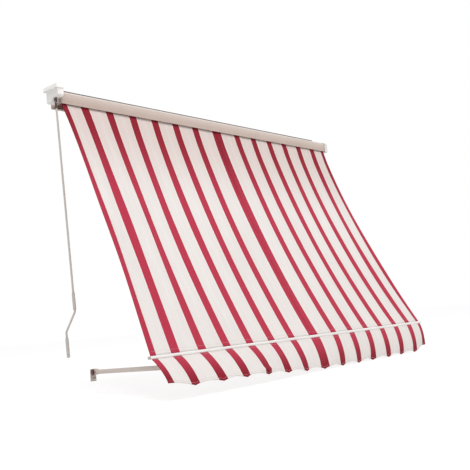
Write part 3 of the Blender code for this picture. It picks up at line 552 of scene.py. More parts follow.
@dataclass(frozen=True)
class AwningCloth:
    """Woven awning cloth: red stripes on cream, threads, long grain, soil, and painted light and
    shade.

    Over the metres down the cloth, the red turns from painted shade to painted light between
    lit_from and lit_to, and back to painted shade between low_shade_from and low_shade_to. The
    cream has painted shade above lit_to.
    """

    name: str
    across: Across = Across.FLAT_MAP
    cream: Colour = (0.850, 0.810, 0.780)
    cream_grey: Colour = (0.760, 0.720, 0.690)
    cream_shaded_top: Colour = (0.670, 0.570, 0.530)
    pin_line: Colour = (0.640, 0.400, 0.400)
    stripe_edge: Colour = (0.86, 0.80, 0.79)
    red_shade_and_grain: Colour = (0.265, 0.008, 0.022)
    red_lit: Colour = (0.520, 0.038, 0.078)
    lit_from: float = 0.10
    lit_to: float = 0.75
    low_shade_from: float = 9.0
    low_shade_to: float = 10.0
    thread: float = 0.0016
    softness: float = 0.0012
    top_shade_share: float = 0.85
    selvedge: float = 0.007
    selvedge_share: float = 0.6
    stripes: Stripes = field(default_factory=Stripes)

    def make(self) -> bpy.types.Material:
        """Builds the material.

        Returns:
            The material.
        """
        shader = Shader(self.name)
        if self.across is Across.FLAT_MAP:
            flat = shader.flat_map()
            side = shader.part(flat, "X")
            down = shader.part(flat, "Y")
        else:
            flat = shader.place()
            side = shader.part(flat, "X") + self.stripes.width / 2
            down = shader.part(flat, "Z")
        grain = shader.noise(flat, scale=(320.0, 5.0, 5.0), detail=3.0)
        fine = shader.noise(flat, scale=(900.0, 60.0, 60.0), detail=2.0)
        clouds = shader.noise(flat, scale=(2.2, 1.4, 1.4), detail=3.0)
        weft = (down / self.thread * math.tau).wave() * 0.5 + 0.5
        warp = (side / self.thread * math.tau).wave() * 0.5 + 0.5
        soil = clouds.rise(0.40, 0.72) * 0.35 + grain.rise(0.35, 0.75) * 0.55 + fine * 0.25
        cream = shader.mix(soil, self.cream, self.cream_grey)
        # Painted light and shade down the cloth: darker near the roller as shade under the hood,
        # lighter further down as light shining through the cloth; the pin lines fade where this
        # painted light is.
        lit = down.rise(self.lit_from, self.lit_to)
        cream = shader.mix((1.0 - lit) * self.top_shade_share, cream, self.cream_shaded_top)
        faint = (grain * 0.5 + 0.15) * (1.0 - lit * 0.60)
        cream = shader.mix(self.stripes.pin_lines(side) * faint, cream, self.pin_line)
        # Painted shade and light on the red: the shaded red near the roller and towards the
        # valance's hem, the lit red between; the same dark red also serves the grain's random tone
        # below.
        red_light = lit - down.rise(self.low_shade_from, self.low_shade_to)
        red = shader.mix(red_light, self.red_shade_and_grain, self.red_lit)
        red = shader.mix((grain * 0.5 + fine * 0.5).rise(0.30, 0.85) * 0.45, red, self.red_shade_and_grain)
        red_mask = self.stripes.mask(side, self.softness)
        selvedge = self.stripes.mask(side, self.selvedge) * (1.0 - red_mask)
        ground = shader.mix(selvedge * self.selvedge_share, cream, self.stripe_edge)
        shader.set(Base_Color=shader.mix(red_mask, ground, red))
        shader.set(Roughness=0.80 + grain * 0.14)
        shader.set(Sheen_Weight=0.05, Sheen_Roughness=0.55, Specular_IOR_Level=0.20)
        weave = weft * warp * 0.6 + grain * 0.8 + fine * 0.4
        shader.relief(weave, depth=0.00035, strength=0.5)
        return shader.material


@dataclass(frozen=True)
class Thread:
    """Sewing thread: twisted, matt, a little uneven."""

    name: str
    colour: Colour
    shade: Colour

    def make(self) -> bpy.types.Material:
        """Builds the material.

        Returns:
            The material.
        """
        shader = Shader(self.name)
        place = shader.place()
        twist = shader.noise(place, scale=1500.0, detail=1.0)
        shader.set(Base_Color=shader.mix(twist, self.colour, self.shade))
        shader.set(Roughness=0.75 + twist * 0.15)
        shader.relief(twist, depth=0.0001, strength=0.4)
        return shader.material


class Palette:
    """Every finish of the awning, made once."""

    def __init__(self) -> None:
        """Builds the materials."""
        finishes = [
            # The hood's coat is painted lighter towards its top and darker at its lip: painted
            # highlight and painted shade.
            PowderCoat(
                "hood_coat",
                (0.510, 0.400, 0.345),
                (0.450, 0.345, 0.295),
                lit_top=(0.740, 0.660, 0.600),
            ),
            PowderCoat("crank_coat", (0.600, 0.545, 0.505), (0.480, 0.430, 0.395), roughness=0.38),
            PowderCoat("bar_coat", (0.900, 0.880, 0.860), (0.810, 0.780, 0.755), roughness=0.36),
            PowderCoat("arm_coat", (0.740, 0.650, 0.585), (0.630, 0.545, 0.485), roughness=0.40),
            MouldedPlastic("end_moulding", (0.760, 0.730, 0.690), (0.680, 0.650, 0.610)),
            MouldedPlastic("cap_moulding", (0.950, 0.925, 0.900), (0.905, 0.875, 0.850)),
            MouldedPlastic(
                "joint_moulding", (0.105, 0.045, 0.038), (0.150, 0.075, 0.062), roughness=0.42
            ),
            MouldedPlastic(
                "maroon_moulding", (0.080, 0.010, 0.016), (0.130, 0.022, 0.028), roughness=0.34
            ),
            RingedPlastic("grip_moulding", (0.600, 0.550, 0.510), (0.500, 0.455, 0.415)),
            ZincSteel("zinc_steel"),
            SealRubber("seal_rubber_strip"),
            # Canopy: painted shade near the roller and painted light further down. Valance: painted
            # shade deepening towards its hem. Roll: all painted shade, as inside the hood.
            AwningCloth("canopy_cloth_weave"),
            AwningCloth(
                "valance_cloth_weave", lit_from=-2.0, lit_to=-1.0, low_shade_from=0.02, low_shade_to=0.19
            ),
            AwningCloth("roll_cloth_weave", Across.ROLL_AXIS, lit_from=3.0, lit_to=4.0),
            Thread("cream_thread", (0.78, 0.74, 0.70), (0.62, 0.57, 0.53)),
            Thread("crimson_thread", (0.300, 0.020, 0.045), (0.220, 0.012, 0.030)),
        ]
        self.materials = {finish.name: finish.make() for finish in finishes}

    def get(self, name: str) -> bpy.types.Material:
        """Gives a material by name."""
        return self.materials[name]

    def dress(self, item: bpy.types.Object, name: str) -> None:
        """Puts one finish on every slot of an object.

        Args:
            item: a CAD node's object or a new piece.
            name: the finish.
        """
        if not item.material_slots:
            item.data.materials.append(self.get(name))
        for held in item.material_slots:
            held.material = self.get(name)


@dataclass
class Frame:
    """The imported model's facts that the cloth is laid out from."""

    parts: dict

    def box(self, node: str) -> tuple[Vector, Vector]:
        """Gives a node's lowest and highest corners."""
        low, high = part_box(node)
        return Vector(low), Vector(high)

    def joint_point(self, name: str) -> Vector:
        """Gives a point on a joint's axis.

        Args:
            name: the joint's name in the record.

        Returns:
            The point.
        """
        for joint in self.parts["record"]["behaviour"]["joints"]:
            if joint["name"] == name:
                return Vector(joint["pos_m"])
        raise KeyError(name)

    def node(self, name: str) -> bpy.types.Object:
        """Gives a node's object."""
        return self.parts["nodes"][name]


def bell(value: float, middle: float, spread: float) -> float:
    """Gives 1 at the middle, and fades to 0 within about two spreads of it."""
    return math.exp(-(((value - middle) / spread) ** 2))


def new_object(name: str, data: bpy.types.ID) -> bpy.types.Object:
    """Makes an object of a mesh, a lamp or a camera and links it to the scene.

    Args:
        name: the object's name.
        data: what it shows.

    Returns:
        The object.
    """
    item = bpy.data.objects.new(name, data)
    bpy.context.scene.collection.objects.link(item)
    return item


def take_mesh(builder: bmesh.types.BMesh, name: str) -> bpy.types.Mesh:
    """Turns a builder into a mesh and frees it.

    Args:
        builder: the builder, done with after this.
        name: the mesh's name.

    Returns:
        The mesh.
    """
    mesh = bpy.data.meshes.new(name)
    builder.to_mesh(mesh)
    builder.free()
    return mesh


def applied_mesh(item: bpy.types.Object, step: bpy.types.Modifier) -> bpy.types.Mesh:
    """Gives an object's mesh with its modifier applied, and takes the modifier off.

    Args:
        item: the object.
        step: its modifier.

    Returns:
        The new mesh.
    """
    graph = bpy.context.evaluated_depsgraph_get()
    graph.update()
    mesh = bpy.data.meshes.new_from_object(item.evaluated_get(graph), depsgraph=graph)
    item.modifiers.remove(step)
    return mesh


def add_piece(name: str, mesh: bpy.types.Mesh, body: str, slot: str) -> bpy.types.Object:
    """Adds a piece that rides on a body.

    Args:
        name: the piece's name.
        mesh: its mesh, in place.
        body: the body that it moves with.
        slot: the record's material slot; not used.

    Returns:
        The new object.
    """
    item = new_object(name, mesh)
    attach(item, body)
    LOG.info("%s: %d faces, moves with %s", name, len(mesh.polygons), body)
    return item


def closed_sheet(
    name: str,
    place: Place,
    columns: Sequence[float],
    rows: int,
    thickness: float,
) -> bpy.types.Mesh:
    """Makes a closed sheet of cloth with its map in metres.

    Args:
        name: the mesh's name.
        place: gives the middle surface at shares across and down.
        columns: the shares across at which it is cut.
        rows: how many rows it has.
        thickness: the cloth's thickness.

    Returns:
        The mesh, with a map named cloth.
    """
    builder = bmesh.new()
    chart = builder.loops.layers.uv.new("cloth")
    spots = [[place(s, row / rows) for s in columns] for row in range(rows + 1)]
    across = len(columns) - 1
    faces_of = []
    for direction in (0.5, -0.5):
        grid = []
        for row in range(rows + 1):
            line = []
            for column in range(across + 1):
                right = spots[row][min(column + 1, across)] - spots[row][max(column - 1, 0)]
                below = spots[min(row + 1, rows)][column] - spots[max(row - 1, 0)][column]
                out = right.cross(below).normalized()
                line.append(builder.verts.new(spots[row][column] + out * thickness * direction))
            grid.append(line)
        faces_of.append(grid)
    front, back = faces_of
    corners = {}
    for grid in faces_of:
        for row, line in enumerate(grid):
            for column, vertex in enumerate(line):
                corners[vertex] = (columns[column], row / rows)
        for row in range(rows):
            for column in range(across):
                upper = (grid[row][column], grid[row][column + 1])
                builder.faces.new((*upper, grid[row + 1][column + 1], grid[row + 1][column]))
    for column in range(across):
        for row in (0, rows):
            over, under = front[row], back[row]
            builder.faces.new((over[column], over[column + 1], under[column + 1], under[column]))
    for row in range(rows):
        for column in (0, across):
            outer = (front[row][column], front[row + 1][column])
            inner = (back[row + 1][column], back[row][column])
            builder.faces.new((*outer, *inner))
    bmesh.ops.recalc_face_normals(builder, faces=builder.faces)
    length = sheet_length(spots)
    for face in builder.faces:
        face.smooth = True
        for loop in face.loops:
            share, drop = corners[loop.vert]
            loop[chart].uv = (share * CLOTH_WIDTH, drop * length)
    return take_mesh(builder, name)


def sheet_length(spots: Sequence[Sequence[Vector]]) -> float:
    """Measures a sheet of points, given row by row, down its middle column."""
    middle = len(spots[0]) // 2
    return sum((low[middle] - high[middle]).length for high, low in zip(spots, spots[1:]))


class NodeTree:
    """A Geometry Nodes tree with named inputs that is turned into a plain mesh."""

    def __init__(self, name: str) -> None:
        """Starts a tree that takes and gives geometry.

        Args:
            name: the tree's name.
        """
        self.tree = bpy.data.node_groups.new(name, "GeometryNodeTree")
        face = self.tree.interface
        face.new_socket("Geometry", in_out="OUTPUT", socket_type="NodeSocketGeometry")
        face.new_socket("Geometry", in_out="INPUT", socket_type="NodeSocketGeometry")
        self.named: dict[str, str] = {}
        self.source = self.tree.nodes.new("NodeGroupInput")
        self.sink = self.tree.nodes.new("NodeGroupOutput")

    def ask(self, name: str, kind: str = "NodeSocketFloat") -> bpy.types.NodeSocket:
        """Adds a named input.

        Args:
            name: the input's name.
            kind: its socket type.

        Returns:
            The socket that gives its value inside the tree.
        """
        made = self.tree.interface.new_socket(name, in_out="INPUT", socket_type=kind)
        key = self.named[name] = made.identifier
        return next(socket for socket in self.source.outputs if socket.identifier == key)

    def node(self, kind: str, settings: dict, inputs: dict) -> bpy.types.Node:
        """Adds a node and fills its inputs with values or linked sockets.

        Args:
            kind: the node's type.
            settings: attributes set first.
            inputs: values or sockets by input name.

        Returns:
            The node.
        """
        made = self.tree.nodes.new(kind)
        for key, value in settings.items():
            setattr(made, key, value)
        for key, value in inputs.items():
            if isinstance(value, bpy.types.NodeSocket):
                self.tree.links.new(value, made.inputs[key])
            else:
                made.inputs[key].default_value = value
        return made

    def close(self, instances: bpy.types.NodeSocket, material: bpy.types.NodeSocket) -> None:
        """Ends the tree: real geometry, smooth, with its material.

        Args:
            instances: the placed instances.
            material: the material input.
        """
        real = self.node("GeometryNodeRealizeInstances", {}, {"Geometry": instances})
        smooth = self.node("GeometryNodeSetShadeSmooth", {}, {"Geometry": real.outputs[0]})
        finish = {"Geometry": smooth.outputs[0], "Material": material}
        dressed = self.node("GeometryNodeSetMaterial", {}, finish)
        self.tree.links.new(dressed.outputs[0], self.sink.inputs[0])

    def grow(self, item: bpy.types.Object, values: dict, name: str) -> bpy.types.Mesh:
        """Runs the tree on an object and keeps the result as a mesh.

        Args:
            item: the object whose mesh is the tree's input; it is removed.
            values: the named inputs' values.
            name: the new mesh's name.

        Returns:
            The mesh.
        """
        step = item.modifiers.new("layout", "NODES")
        step.node_group = self.tree
        for key, value in values.items():
            step[self.named[key]] = value
        mesh = applied_mesh(item, step)
        mesh.name = name
        bpy.data.objects.remove(item, do_unlink=True)
        return mesh


def loose_object(
    name: str, points: Sequence[Vector], lines: Sequence[int] = ()
) -> bpy.types.Object:
    """Makes an object of bare points, joined in lines.

    Args:
        name: the object's name.
        points: its points.
        lines: how many points each line takes, in order; none for bare points.

    Returns:
        The object.
    """
    edges = []
    first = 0
    for count in lines:
        edges += [(index, index + 1) for index in range(first, first + count - 1)]
        first += count
    mesh = bpy.data.meshes.new(name)
    mesh.from_pydata([tuple(point) for point in points], edges, [])
    return new_object(name, mesh)


@dataclass
class Stitching:
    """Rows of stitches laid along lines on a cloth."""

    palette: Palette
    pitch: float = 0.0050
    half_length: float = 0.0018
    half_width: float = 0.00055
    proud: float = 0.0003
    sides: int = 6
    rings: int = 4
    tree: NodeTree = field(init=False)

    def __post_init__(self) -> None:
        """Builds the tree: points along the lines, a small rounded stitch on each."""
        tree = NodeTree("stitch_rows")
        pitch = tree.ask("Pitch")
        length = tree.ask("Half length")
        width = tree.ask("Half width")
        material = tree.ask("Material", "NodeSocketMaterial")
        curve = tree.node("GeometryNodeMeshToCurve", {}, {"Mesh": tree.source.outputs[0]})
        spaced = {"Curve": curve.outputs[0], "Length": pitch}
        dotted = tree.node("GeometryNodeCurveToPoints", {"mode": "LENGTH"}, spaced)
        ball = {"Segments": self.sides, "Rings": self.rings, "Radius": 1.0}
        stitch = tree.node("GeometryNodeMeshUVSphere", {}, ball)
        size = tree.node("ShaderNodeCombineXYZ", {}, {"X": width, "Y": width, "Z": length})
        laid = {
            "Points": dotted.outputs["Points"],
            "Instance": stitch.outputs["Mesh"],
            "Rotation": dotted.outputs["Rotation"],
            "Scale": size.outputs[0],
        }
        placed = tree.node("GeometryNodeInstanceOnPoints", {}, laid)
        tree.close(placed.outputs[0], material)
        self.tree = tree

    def sew(self, name: str, rows: Sequence[Sequence[Vector]], thread: str) -> bpy.types.Mesh:
        """Lays stitches along rows.

        Args:
            name: the mesh's name.
            rows: each row's points in order.
            thread: the thread's finish.

        Returns:
            The stitches as one mesh.
        """
        points = [point for row in rows for point in row]
        guide = loose_object(f"{name}_guide", points, [len(row) for row in rows])
        values = {
            "Pitch": self.pitch,
            "Half length": self.half_length,
            "Half width": self.half_width,
            "Material": self.palette.get(thread),
        }
        return self.tree.grow(guide, values, name)


@dataclass
class PanHeadScrews:
    """The wall screws: pan heads with a cross recess, set on their seats."""

    frame: Frame
    palette: Palette
    recess_width: float = 0.0012
    recess_span: float = 0.0062
    recess_depth: float = 0.0020
    shank_radius: float = 0.0034
    head: float = 0.004
    rim_share: float = 0.35
    flat_share: float = 0.62
    sides: int = 32
    crown_steps: int = 5
    smooth_below: float = math.radians(35)

    def screw(self, radius: float, shank: float) -> bpy.types.Object:
        """Turns one screw, its seat at the origin and its head towards -Y, and cuts its recess.

        Args:
            radius: the head's radius.
            shank: the shank's length behind the seat.

        Returns:
            The screw as an object.
        """
        inner = self.shank_radius
        outline = [(0.0, shank), (inner, shank), (inner, 0.0), (radius, 0.0)]
        for step in range(self.crown_steps + 1):
            angle = math.pi / 2 * step / self.crown_steps
            out = self.flat_share + (1 - self.flat_share) * math.cos(angle)
            up = self.rim_share + (1 - self.rim_share) * math.sin(angle)
            outline.append((radius * out, -self.head * up))
        outline.append((0.0, -self.head))
        builder = bmesh.new()
        line = [builder.verts.new((across, along, 0.0)) for across, along in outline]
        edges = [builder.edges.new(pair) for pair in zip(line, line[1:])]
        turn = {"cent": (0, 0, 0), "axis": (0, 1, 0), "angle": math.tau, "steps": self.sides}
        bmesh.ops.spin(builder, geom=line + edges, **turn)
        bmesh.ops.remove_doubles(builder, verts=builder.verts, dist=MERGE_DISTANCE)
        bmesh.ops.recalc_face_normals(builder, faces=builder.faces)
        screw = new_object("screw_master", take_mesh(builder, "screw_master"))
        self.cut_recess(screw)
        return screw

    def cut_recess(self, screw: bpy.types.Object) -> None:
        """Cuts the cross recess into a screw's head.

        Args:
            screw: the screw.
        """
        span, width = self.recess_span, self.recess_width
        for number, (wide, tall) in enumerate(((span, width), (width, span))):
            builder = bmesh.new()
            size = Matrix.Diagonal((wide, 2 * self.recess_depth, tall, 1.0))
            top = Matrix.Translation((0, -self.head, 0))
            bmesh.ops.create_cube(builder, size=1.0, matrix=top @ size)
            tool = new_object("recess", take_mesh(builder, "recess"))
            step = screw.modifiers.new(f"recess_{number}", "BOOLEAN")
            step.operation = "DIFFERENCE"
            step.solver = "EXACT"
            step.object = tool
            screw.data = applied_mesh(screw, step)
            bpy.data.objects.remove(tool, do_unlink=True)

    def layout(self) -> NodeTree:
        """Builds the tree that sets a screw on each point.

        Returns:
            The tree.
        """
        tree = NodeTree("screws_on_seats")
        master = tree.ask("Screw", "NodeSocketObject")
        material = tree.ask("Material", "NodeSocketMaterial")
        found = tree.node("GeometryNodeObjectInfo", {}, {"Object": master})
        laid = {"Points": tree.source.outputs[0], "Instance": found.outputs["Geometry"]}
        placed = tree.node("GeometryNodeInstanceOnPoints", {}, laid)
        tree.close(placed.outputs[0], material)
        return tree

    def build(self, name: str, nodes: Sequence[str]) -> None:
        """Makes the screws of one set and puts them in the CAD screws' places.

        Args:
            name: the piece's name.
            nodes: the CAD screws.
        """
        boxes = [self.frame.box(node) for node in nodes]
        low, high = boxes[0]
        radius = (high.x - low.x) / 2
        seat = low.y + self.head
        centres = [(low + high) / 2 for low, high in boxes]
        seats = [Vector((centre.x, seat, centre.z)) for centre in centres]
        screw = self.screw(radius, -seat)
        values = {"Screw": screw, "Material": self.palette.get("zinc_steel")}
        mesh = self.layout().grow(loose_object(f"{name}_seats", seats), values, name)
        bpy.data.objects.remove(screw, do_unlink=True)
        mesh.set_sharp_from_angle(angle=self.smooth_below)
        piece = add_piece(name, mesh, "wall_frame", "steel")
        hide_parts(*nodes)


@dataclass(frozen=True)
class Wave:
    """A sine over a cloth: its turns across and down, where it starts, and its height."""

    across: float
    down: float
    start: float = 0.0
    height: float = 1.0

    def at(self, s: float, v: float) -> float:
        """Gives its height at shares across and down."""
        turns = self.across * s + self.down * v
        return self.height * math.sin(math.tau * turns + self.start)


@dataclass
class Canopy:
    """The striped canopy from the roller to the front bar, with its middle seam and stitched hems.

    In its places s is the share across from the left edge, and v the share down from the roller.
    """

    frame: Frame
    palette: Palette
    stitching: Stitching
    thickness: float = CLOTH_THICKNESS
    columns: int = 300
    rows: int = 130
    sag: float = 0.050
    edge_sag_share: float = 0.4
    start_ease: float = 0.060
    start_lift: float = 0.0030
    lift_at: float = 0.014
    lift_spread: float = 0.011
    left_gather: float = 0.036
    left_spread: float = 0.13
    right_gather: float = 0.052
    right_spread: float = 0.24
    edge_fold: float = 0.016
    fold_at: float = 0.10
    fold_spread: float = 0.035
    bar_gap: float = 0.0010
    crease: float = 0.0030
    long_creases: tuple[Wave, ...] = (Wave(5.3, 0.8, 0.6), Wave(12.7, -1.1, height=0.6))
    long_share: float = 0.45
    left_creases: Wave = Wave(19.0, 1.7, height=1.3)
    left_fade: float = 0.16
    right_creases: Wave = Wave(17.0, -1.3, 1.0, height=1.1)
    right_fade: float = 0.12
    pucker: float = 0.0010
    pucker_spread: float = 0.03
    pucker_pitch: float = 0.045
    seam_half: float = 0.011
    seam_edge: float = 0.003
    seam_lap: float = 0.9
    seam_columns: int = 4
    hem_line: float = 0.022
    stitch_margin: int = 2

    def __post_init__(self) -> None:
        """Takes the two ends of the cloth from the frame."""
        self.start = self.frame.joint_point("canopy_turn")
        self.start.x = 0.0
        bar_low, bar_high = self.frame.box("front_bar")
        end = Vector((0.0, (bar_low.y + bar_high.y) / 2, bar_high.z + self.bar_gap))
        run = end - self.start
        self.length = run.length
        self.down = run.normalized()
        self.inward = Vector((0.0, -self.down.z, self.down.y))

    def place(self, s: float, v: float) -> Vector:
        """Gives a point of the cloth's middle surface.

        Args:
            s: the share across.
            v: the share down.

        Returns:
            The point.
        """
        arch = 4 * v * (1 - v) * (1 - bell(v, 0.0, self.start_ease))
        middle = math.sqrt(max(math.sin(math.pi * s), 0.0))
        crown = self.edge_sag_share + (1 - self.edge_sag_share) * middle
        left = self.left_gather * bell(s, 0.0, self.left_spread) * arch
        right = self.right_gather * bell(1 - s, 0.0, self.right_spread) * arch
        fold = self.edge_fold * bell(s, self.fold_at, self.fold_spread) * arch
        x = CLOTH_WIDTH * (s - 0.5) + left - right
        inward = self.sag * arch * crown - fold - self.creases(s, v) * arch
        inward -= self.start_lift * bell(v, self.lift_at, self.lift_spread)
        middle_line = self.start + self.down * (self.length * v)
        return middle_line + self.inward * inward + Vector((x, 0.0, 0.0))

    def creases(self, s: float, v: float) -> float:
        """Gives the small folds that run down the cloth, in metres outwards.

        Args:
            s: the share across.
            v: the share down.

        Returns:
            The height of the fold.
        """
        folds = self.long_share * sum(wave.at(s, v) for wave in self.long_creases)
        folds += math.exp(-s / self.left_fade) * self.left_creases.at(s, v)
        folds += math.exp(-(1 - s) / self.right_fade) * self.right_creases.at(s, v)
        seam = bell((s - 0.5) * CLOTH_WIDTH, 0.0, self.pucker_spread)
        seam *= math.sin(math.tau * v * self.length / self.pucker_pitch)
        return self.crease * folds + self.pucker * seam

    def lifted(self, s: float, v: float, height: float) -> Vector:
        """Gives a point at a height out from the cloth's middle surface."""
        return self.place(s, v) - self.inward * height

    def hang(self, name: str, mesh: bpy.types.Mesh, finish: str) -> bpy.types.Object:
        """Adds a piece that moves with the canopy.

        Args:
            name: the piece's name.
            mesh: its mesh.
            finish: its finish.

        Returns:
            The piece.
        """
        piece = add_piece(name, mesh, "canopy", "striped_cloth")
        self.palette.dress(piece, finish)
        tuple(self.down)
        tuple(self.start)
        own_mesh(piece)
        return piece

    def build(self) -> None:
        """Makes the cloth, its seam and its stitches."""
        shares = [number / self.columns for number in range(self.columns + 1)]
        cloth = closed_sheet("canopy_cloth", self.place, shares, self.rows, self.thickness)
        sheet = self.hang("canopy_cloth", cloth, "canopy_cloth_weave")
        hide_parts("canopy")
        half = self.seam_half / CLOTH_WIDTH
        steps = [2 * number / self.seam_columns - 1 for number in range(self.seam_columns + 1)]
        seam_shares = [0.5 + half * step for step in steps]

        def on_top(s: float, v: float) -> Vector:
            """Gives the seam's middle surface."""
            return self.lifted(s, v, self.thickness * self.seam_lap)

        seam = closed_sheet("canopy_seam", on_top, seam_shares, self.rows, self.thickness)
        lap = self.hang("canopy_seam", seam, "canopy_cloth_weave")
        above_bar = self.stitching.sew("hem_stitches", [self.line_above_bar()], "cream_thread")
        hem_stitches = self.hang("hem_stitches", above_bar, "cream_thread")
        lengthwise = self.stitching.sew("seam_stitches", self.lines_down(), "crimson_thread")
        seam_stitches = self.hang("seam_stitches", lengthwise, "crimson_thread")

    def line_down(self, share: float, height: float) -> list[Vector]:
        """Gives a line down the cloth, at a height out from its middle surface."""
        steps = range(self.stitch_margin, self.rows - self.stitch_margin + 1)
        return [self.lifted(share, step / self.rows, height) for step in steps]

    def lines_down(self) -> list[list[Vector]]:
        """Gives the two rows of stitches along the middle seam and one along each side hem.

        Returns:
            The four rows' points.
        """
        height = self.thickness / 2 + self.stitching.proud
        seam_height = self.thickness * (self.seam_lap + 0.5) + self.stitching.proud
        inner = (self.seam_half - self.seam_edge) / CLOTH_WIDTH
        hem = self.hem_line / CLOTH_WIDTH
        rows = [self.line_down(0.5 + side * inner, seam_height) for side in (-1, 1)]
        return rows + [self.line_down(hem, height), self.line_down(1 - hem, height)]

    def line_above_bar(self) -> list[Vector]:
        """Gives the row of stitches above the bar.

        Returns:
            The row's points from left to right.
        """
        height = self.thickness / 2 + self.stitching.proud
        low = 1 - self.hem_line / self.length
        steps = range(self.stitch_margin, self.columns - self.stitch_margin + 1)
        return [self.lifted(step / self.columns, low, height) for step in steps]


@dataclass
class Valance:
    """The scalloped valance under the front bar, with its folded hem and stitches.

    In its places s is the share across from the left edge, and v the share down from the bar.
    """

    frame: Frame
    palette: Palette
    stitching: Stitching
    stripes: Stripes = field(default_factory=Stripes)
    thickness: float = CLOTH_THICKNESS
    columns: int = 480
    rows: int = 44
    length: float = 0.195
    lean_right: float = math.radians(9)
    lean_left: float = math.radians(46)
    lean_middle: float = 0.40
    lean_spread: float = 0.085
    curl: float = math.radians(26)
    scallop: float = 0.018
    scallop_round: float = 0.8
    end_lift: float = 0.040
    flutter: float = 0.0045
    slow_wave: float = 0.31
    slow_start: float = 0.2
    quick_wave: float = 0.13
    quick_slant: float = 0.55
    quick_height: float = 0.7
    tuck: float = 0.011
    tuck_left: float = 0.35
    tuck_power: int = 5
    rolled_tab: float = 0.276
    rolled_spread: float = 0.034
    rolled_by: float = 0.012
    crest_at: float = 0.86
    crest_spread: float = 0.06
    under_from: float = 0.9
    under_slope: float = 6.0
    carrier_gap: float = 0.0013
    bar_gap: float = 0.0003
    hem_width: float = 0.014
    hem_layers: float = 2.1
    hem_end: float = 1.004
    hem_rows: int = 4
    hem_stitch_edge: float = 0.003
    top_stitches: float = 0.012
    stitch_margin: int = 2
    probe: float = 0.002

    def __post_init__(self) -> None:
        """Takes the top edge from the frame: under the bar's front, before the carriers."""
        bar_low, _ = self.frame.box("front_bar")
        carrier_low, _ = self.frame.box("bar_carrier_left")
        self.top_y = carrier_low.y - self.carrier_gap
        self.top_z = bar_low.z - self.bar_gap
        self.middles = self.stripes.middles()

    def rise(self, across: float) -> float:
        """Gives how far the hem is above its tips, in an arch between two and a rise at each end.

        Args:
            across: metres from the left edge.

        Returns:
            The rise in metres.
        """
        tips = self.middles[1:-1]
        nearest = min(across, CLOTH_WIDTH - across)
        if nearest < tips[0]:
            return self.end_lift * math.sin(math.pi / 2 * (1 - nearest / tips[0]))
        for left, right in zip(tips, tips[1:]):
            if left <= across <= right:
                share = (across - left) / (right - left)
                return self.scallop * max(math.sin(math.pi * share), 0.0) ** self.scallop_round
        return 0.0

    def place(self, s: float, v: float) -> Vector:
        """Gives a point of the valance's middle surface.

        Args:
            s: the share across.
            v: the share down.

        Returns:
            The point.
        """
        across = s * CLOTH_WIDTH
        rise = self.rise(across)
        length = self.length - rise
        share = 1 / (1 + math.exp((s - self.lean_middle) / self.lean_spread))
        first = self.lean_right + (self.lean_left - self.lean_right) * share + self.curl / 2
        now = first - self.curl * v
        out = length * (math.cos(now) - math.cos(first)) / self.curl
        drop = length * (math.sin(first) - math.sin(now)) / self.curl
        wave = math.sin(math.tau * (across / self.slow_wave + self.slow_start))
        slanted = across / self.quick_wave + self.quick_slant * v
        wave += self.quick_height * math.sin(math.tau * slanted)
        out += self.flutter * v * v * wave
        tip = max(1 - rise / self.scallop, 0.0)
        tucked = self.tuck_left + (1 - self.tuck_left) * s
        out -= self.tuck * tip * v**self.tuck_power * tucked
        roll = bell((s - self.rolled_tab) * CLOTH_WIDTH, 0.0, self.rolled_spread)
        out += self.rolled_by * roll * bell(v, self.crest_at, self.crest_spread)
        out -= self.rolled_by * roll * max(v - self.under_from, 0.0) * self.under_slope
        return Vector((across - CLOTH_WIDTH / 2, self.top_y - out, self.top_z - drop))

    def outward(self, s: float, v: float) -> Vector:
        """Gives the direction out from the cloth's front.

        Args:
            s: the share across.
            v: the share down.

        Returns:
            A direction of length 1.
        """
        step = self.probe
        right = self.place(min(s + step, 1.0), v) - self.place(max(s - step, 0.0), v)
        below = self.place(s, min(v + step, 1.0)) - self.place(s, max(v - step, 0.0))
        out = right.cross(below).normalized()
        return -out if out.y > 0 else out

    def build(self) -> None:
        """Makes the cloth, its folded hem and its stitches."""
        shares = [number / self.columns for number in range(self.columns + 1)]
        cloth = closed_sheet("valance_cloth", self.place, shares, self.rows, self.thickness)
        sheet = add_piece("valance_cloth", cloth, "bar", "striped_cloth")
        self.palette.dress(sheet, "valance_cloth_weave")
        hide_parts("valance")
        hem = self.hem_piece(shares)
        stitches = add_piece("valance_stitches", self.stitch_rows(), "bar", "striped_cloth")

    def hem_piece(self, shares: Sequence[float]) -> bpy.types.Object:
        """Folds the hem over both faces of the cloth's lower edge.

        Args:
            shares: the cloth's columns.

        Returns:
            The piece.
        """
        start = 1 - self.hem_width / self.length

        def lower(s: float, v: float) -> Vector:
            """Gives the hem's middle surface."""
            return self.place(s, start + (self.hem_end - start) * v)

        thickness = self.thickness * self.hem_layers
        mesh = closed_sheet("valance_hem", lower, shares, self.hem_rows, thickness)
        for loop in mesh.uv_layers["cloth"].data:
            loop.uv.y += self.length * start
        piece = add_piece("valance_hem", mesh, "bar", "striped_cloth")
        self.palette.dress(piece, "valance_cloth_weave")
        return piece

    def stitch_rows(self) -> bpy.types.Mesh:
        """Sews one row along the hem and one under the bar.

        Returns:
            The stitches as one mesh.
        """
        hem = 1 - (self.hem_width - self.hem_stitch_edge) / self.length
        top = self.top_stitches / self.length
        half = self.thickness / 2
        steps = range(self.stitch_margin, self.columns - self.stitch_margin + 1)
        shares = [step / self.columns for step in steps]
        rows = []
        for level, face in ((hem, half * self.hem_layers), (top, half)):
            lift = face + self.stitching.proud
            rows.append([self.place(s, level) + self.outward(s, level) * lift for s in shares])
        return self.stitching.sew("valance_stitches", rows, "cream_thread")


@dataclass(frozen=True)
class Softened:
    """A hard node that is shown with its edges rounded."""

    node: str
    body: str
    slot: str
    finish: str
    radius: float
    segments: int = 2
    sharper_than: float = math.radians(28)


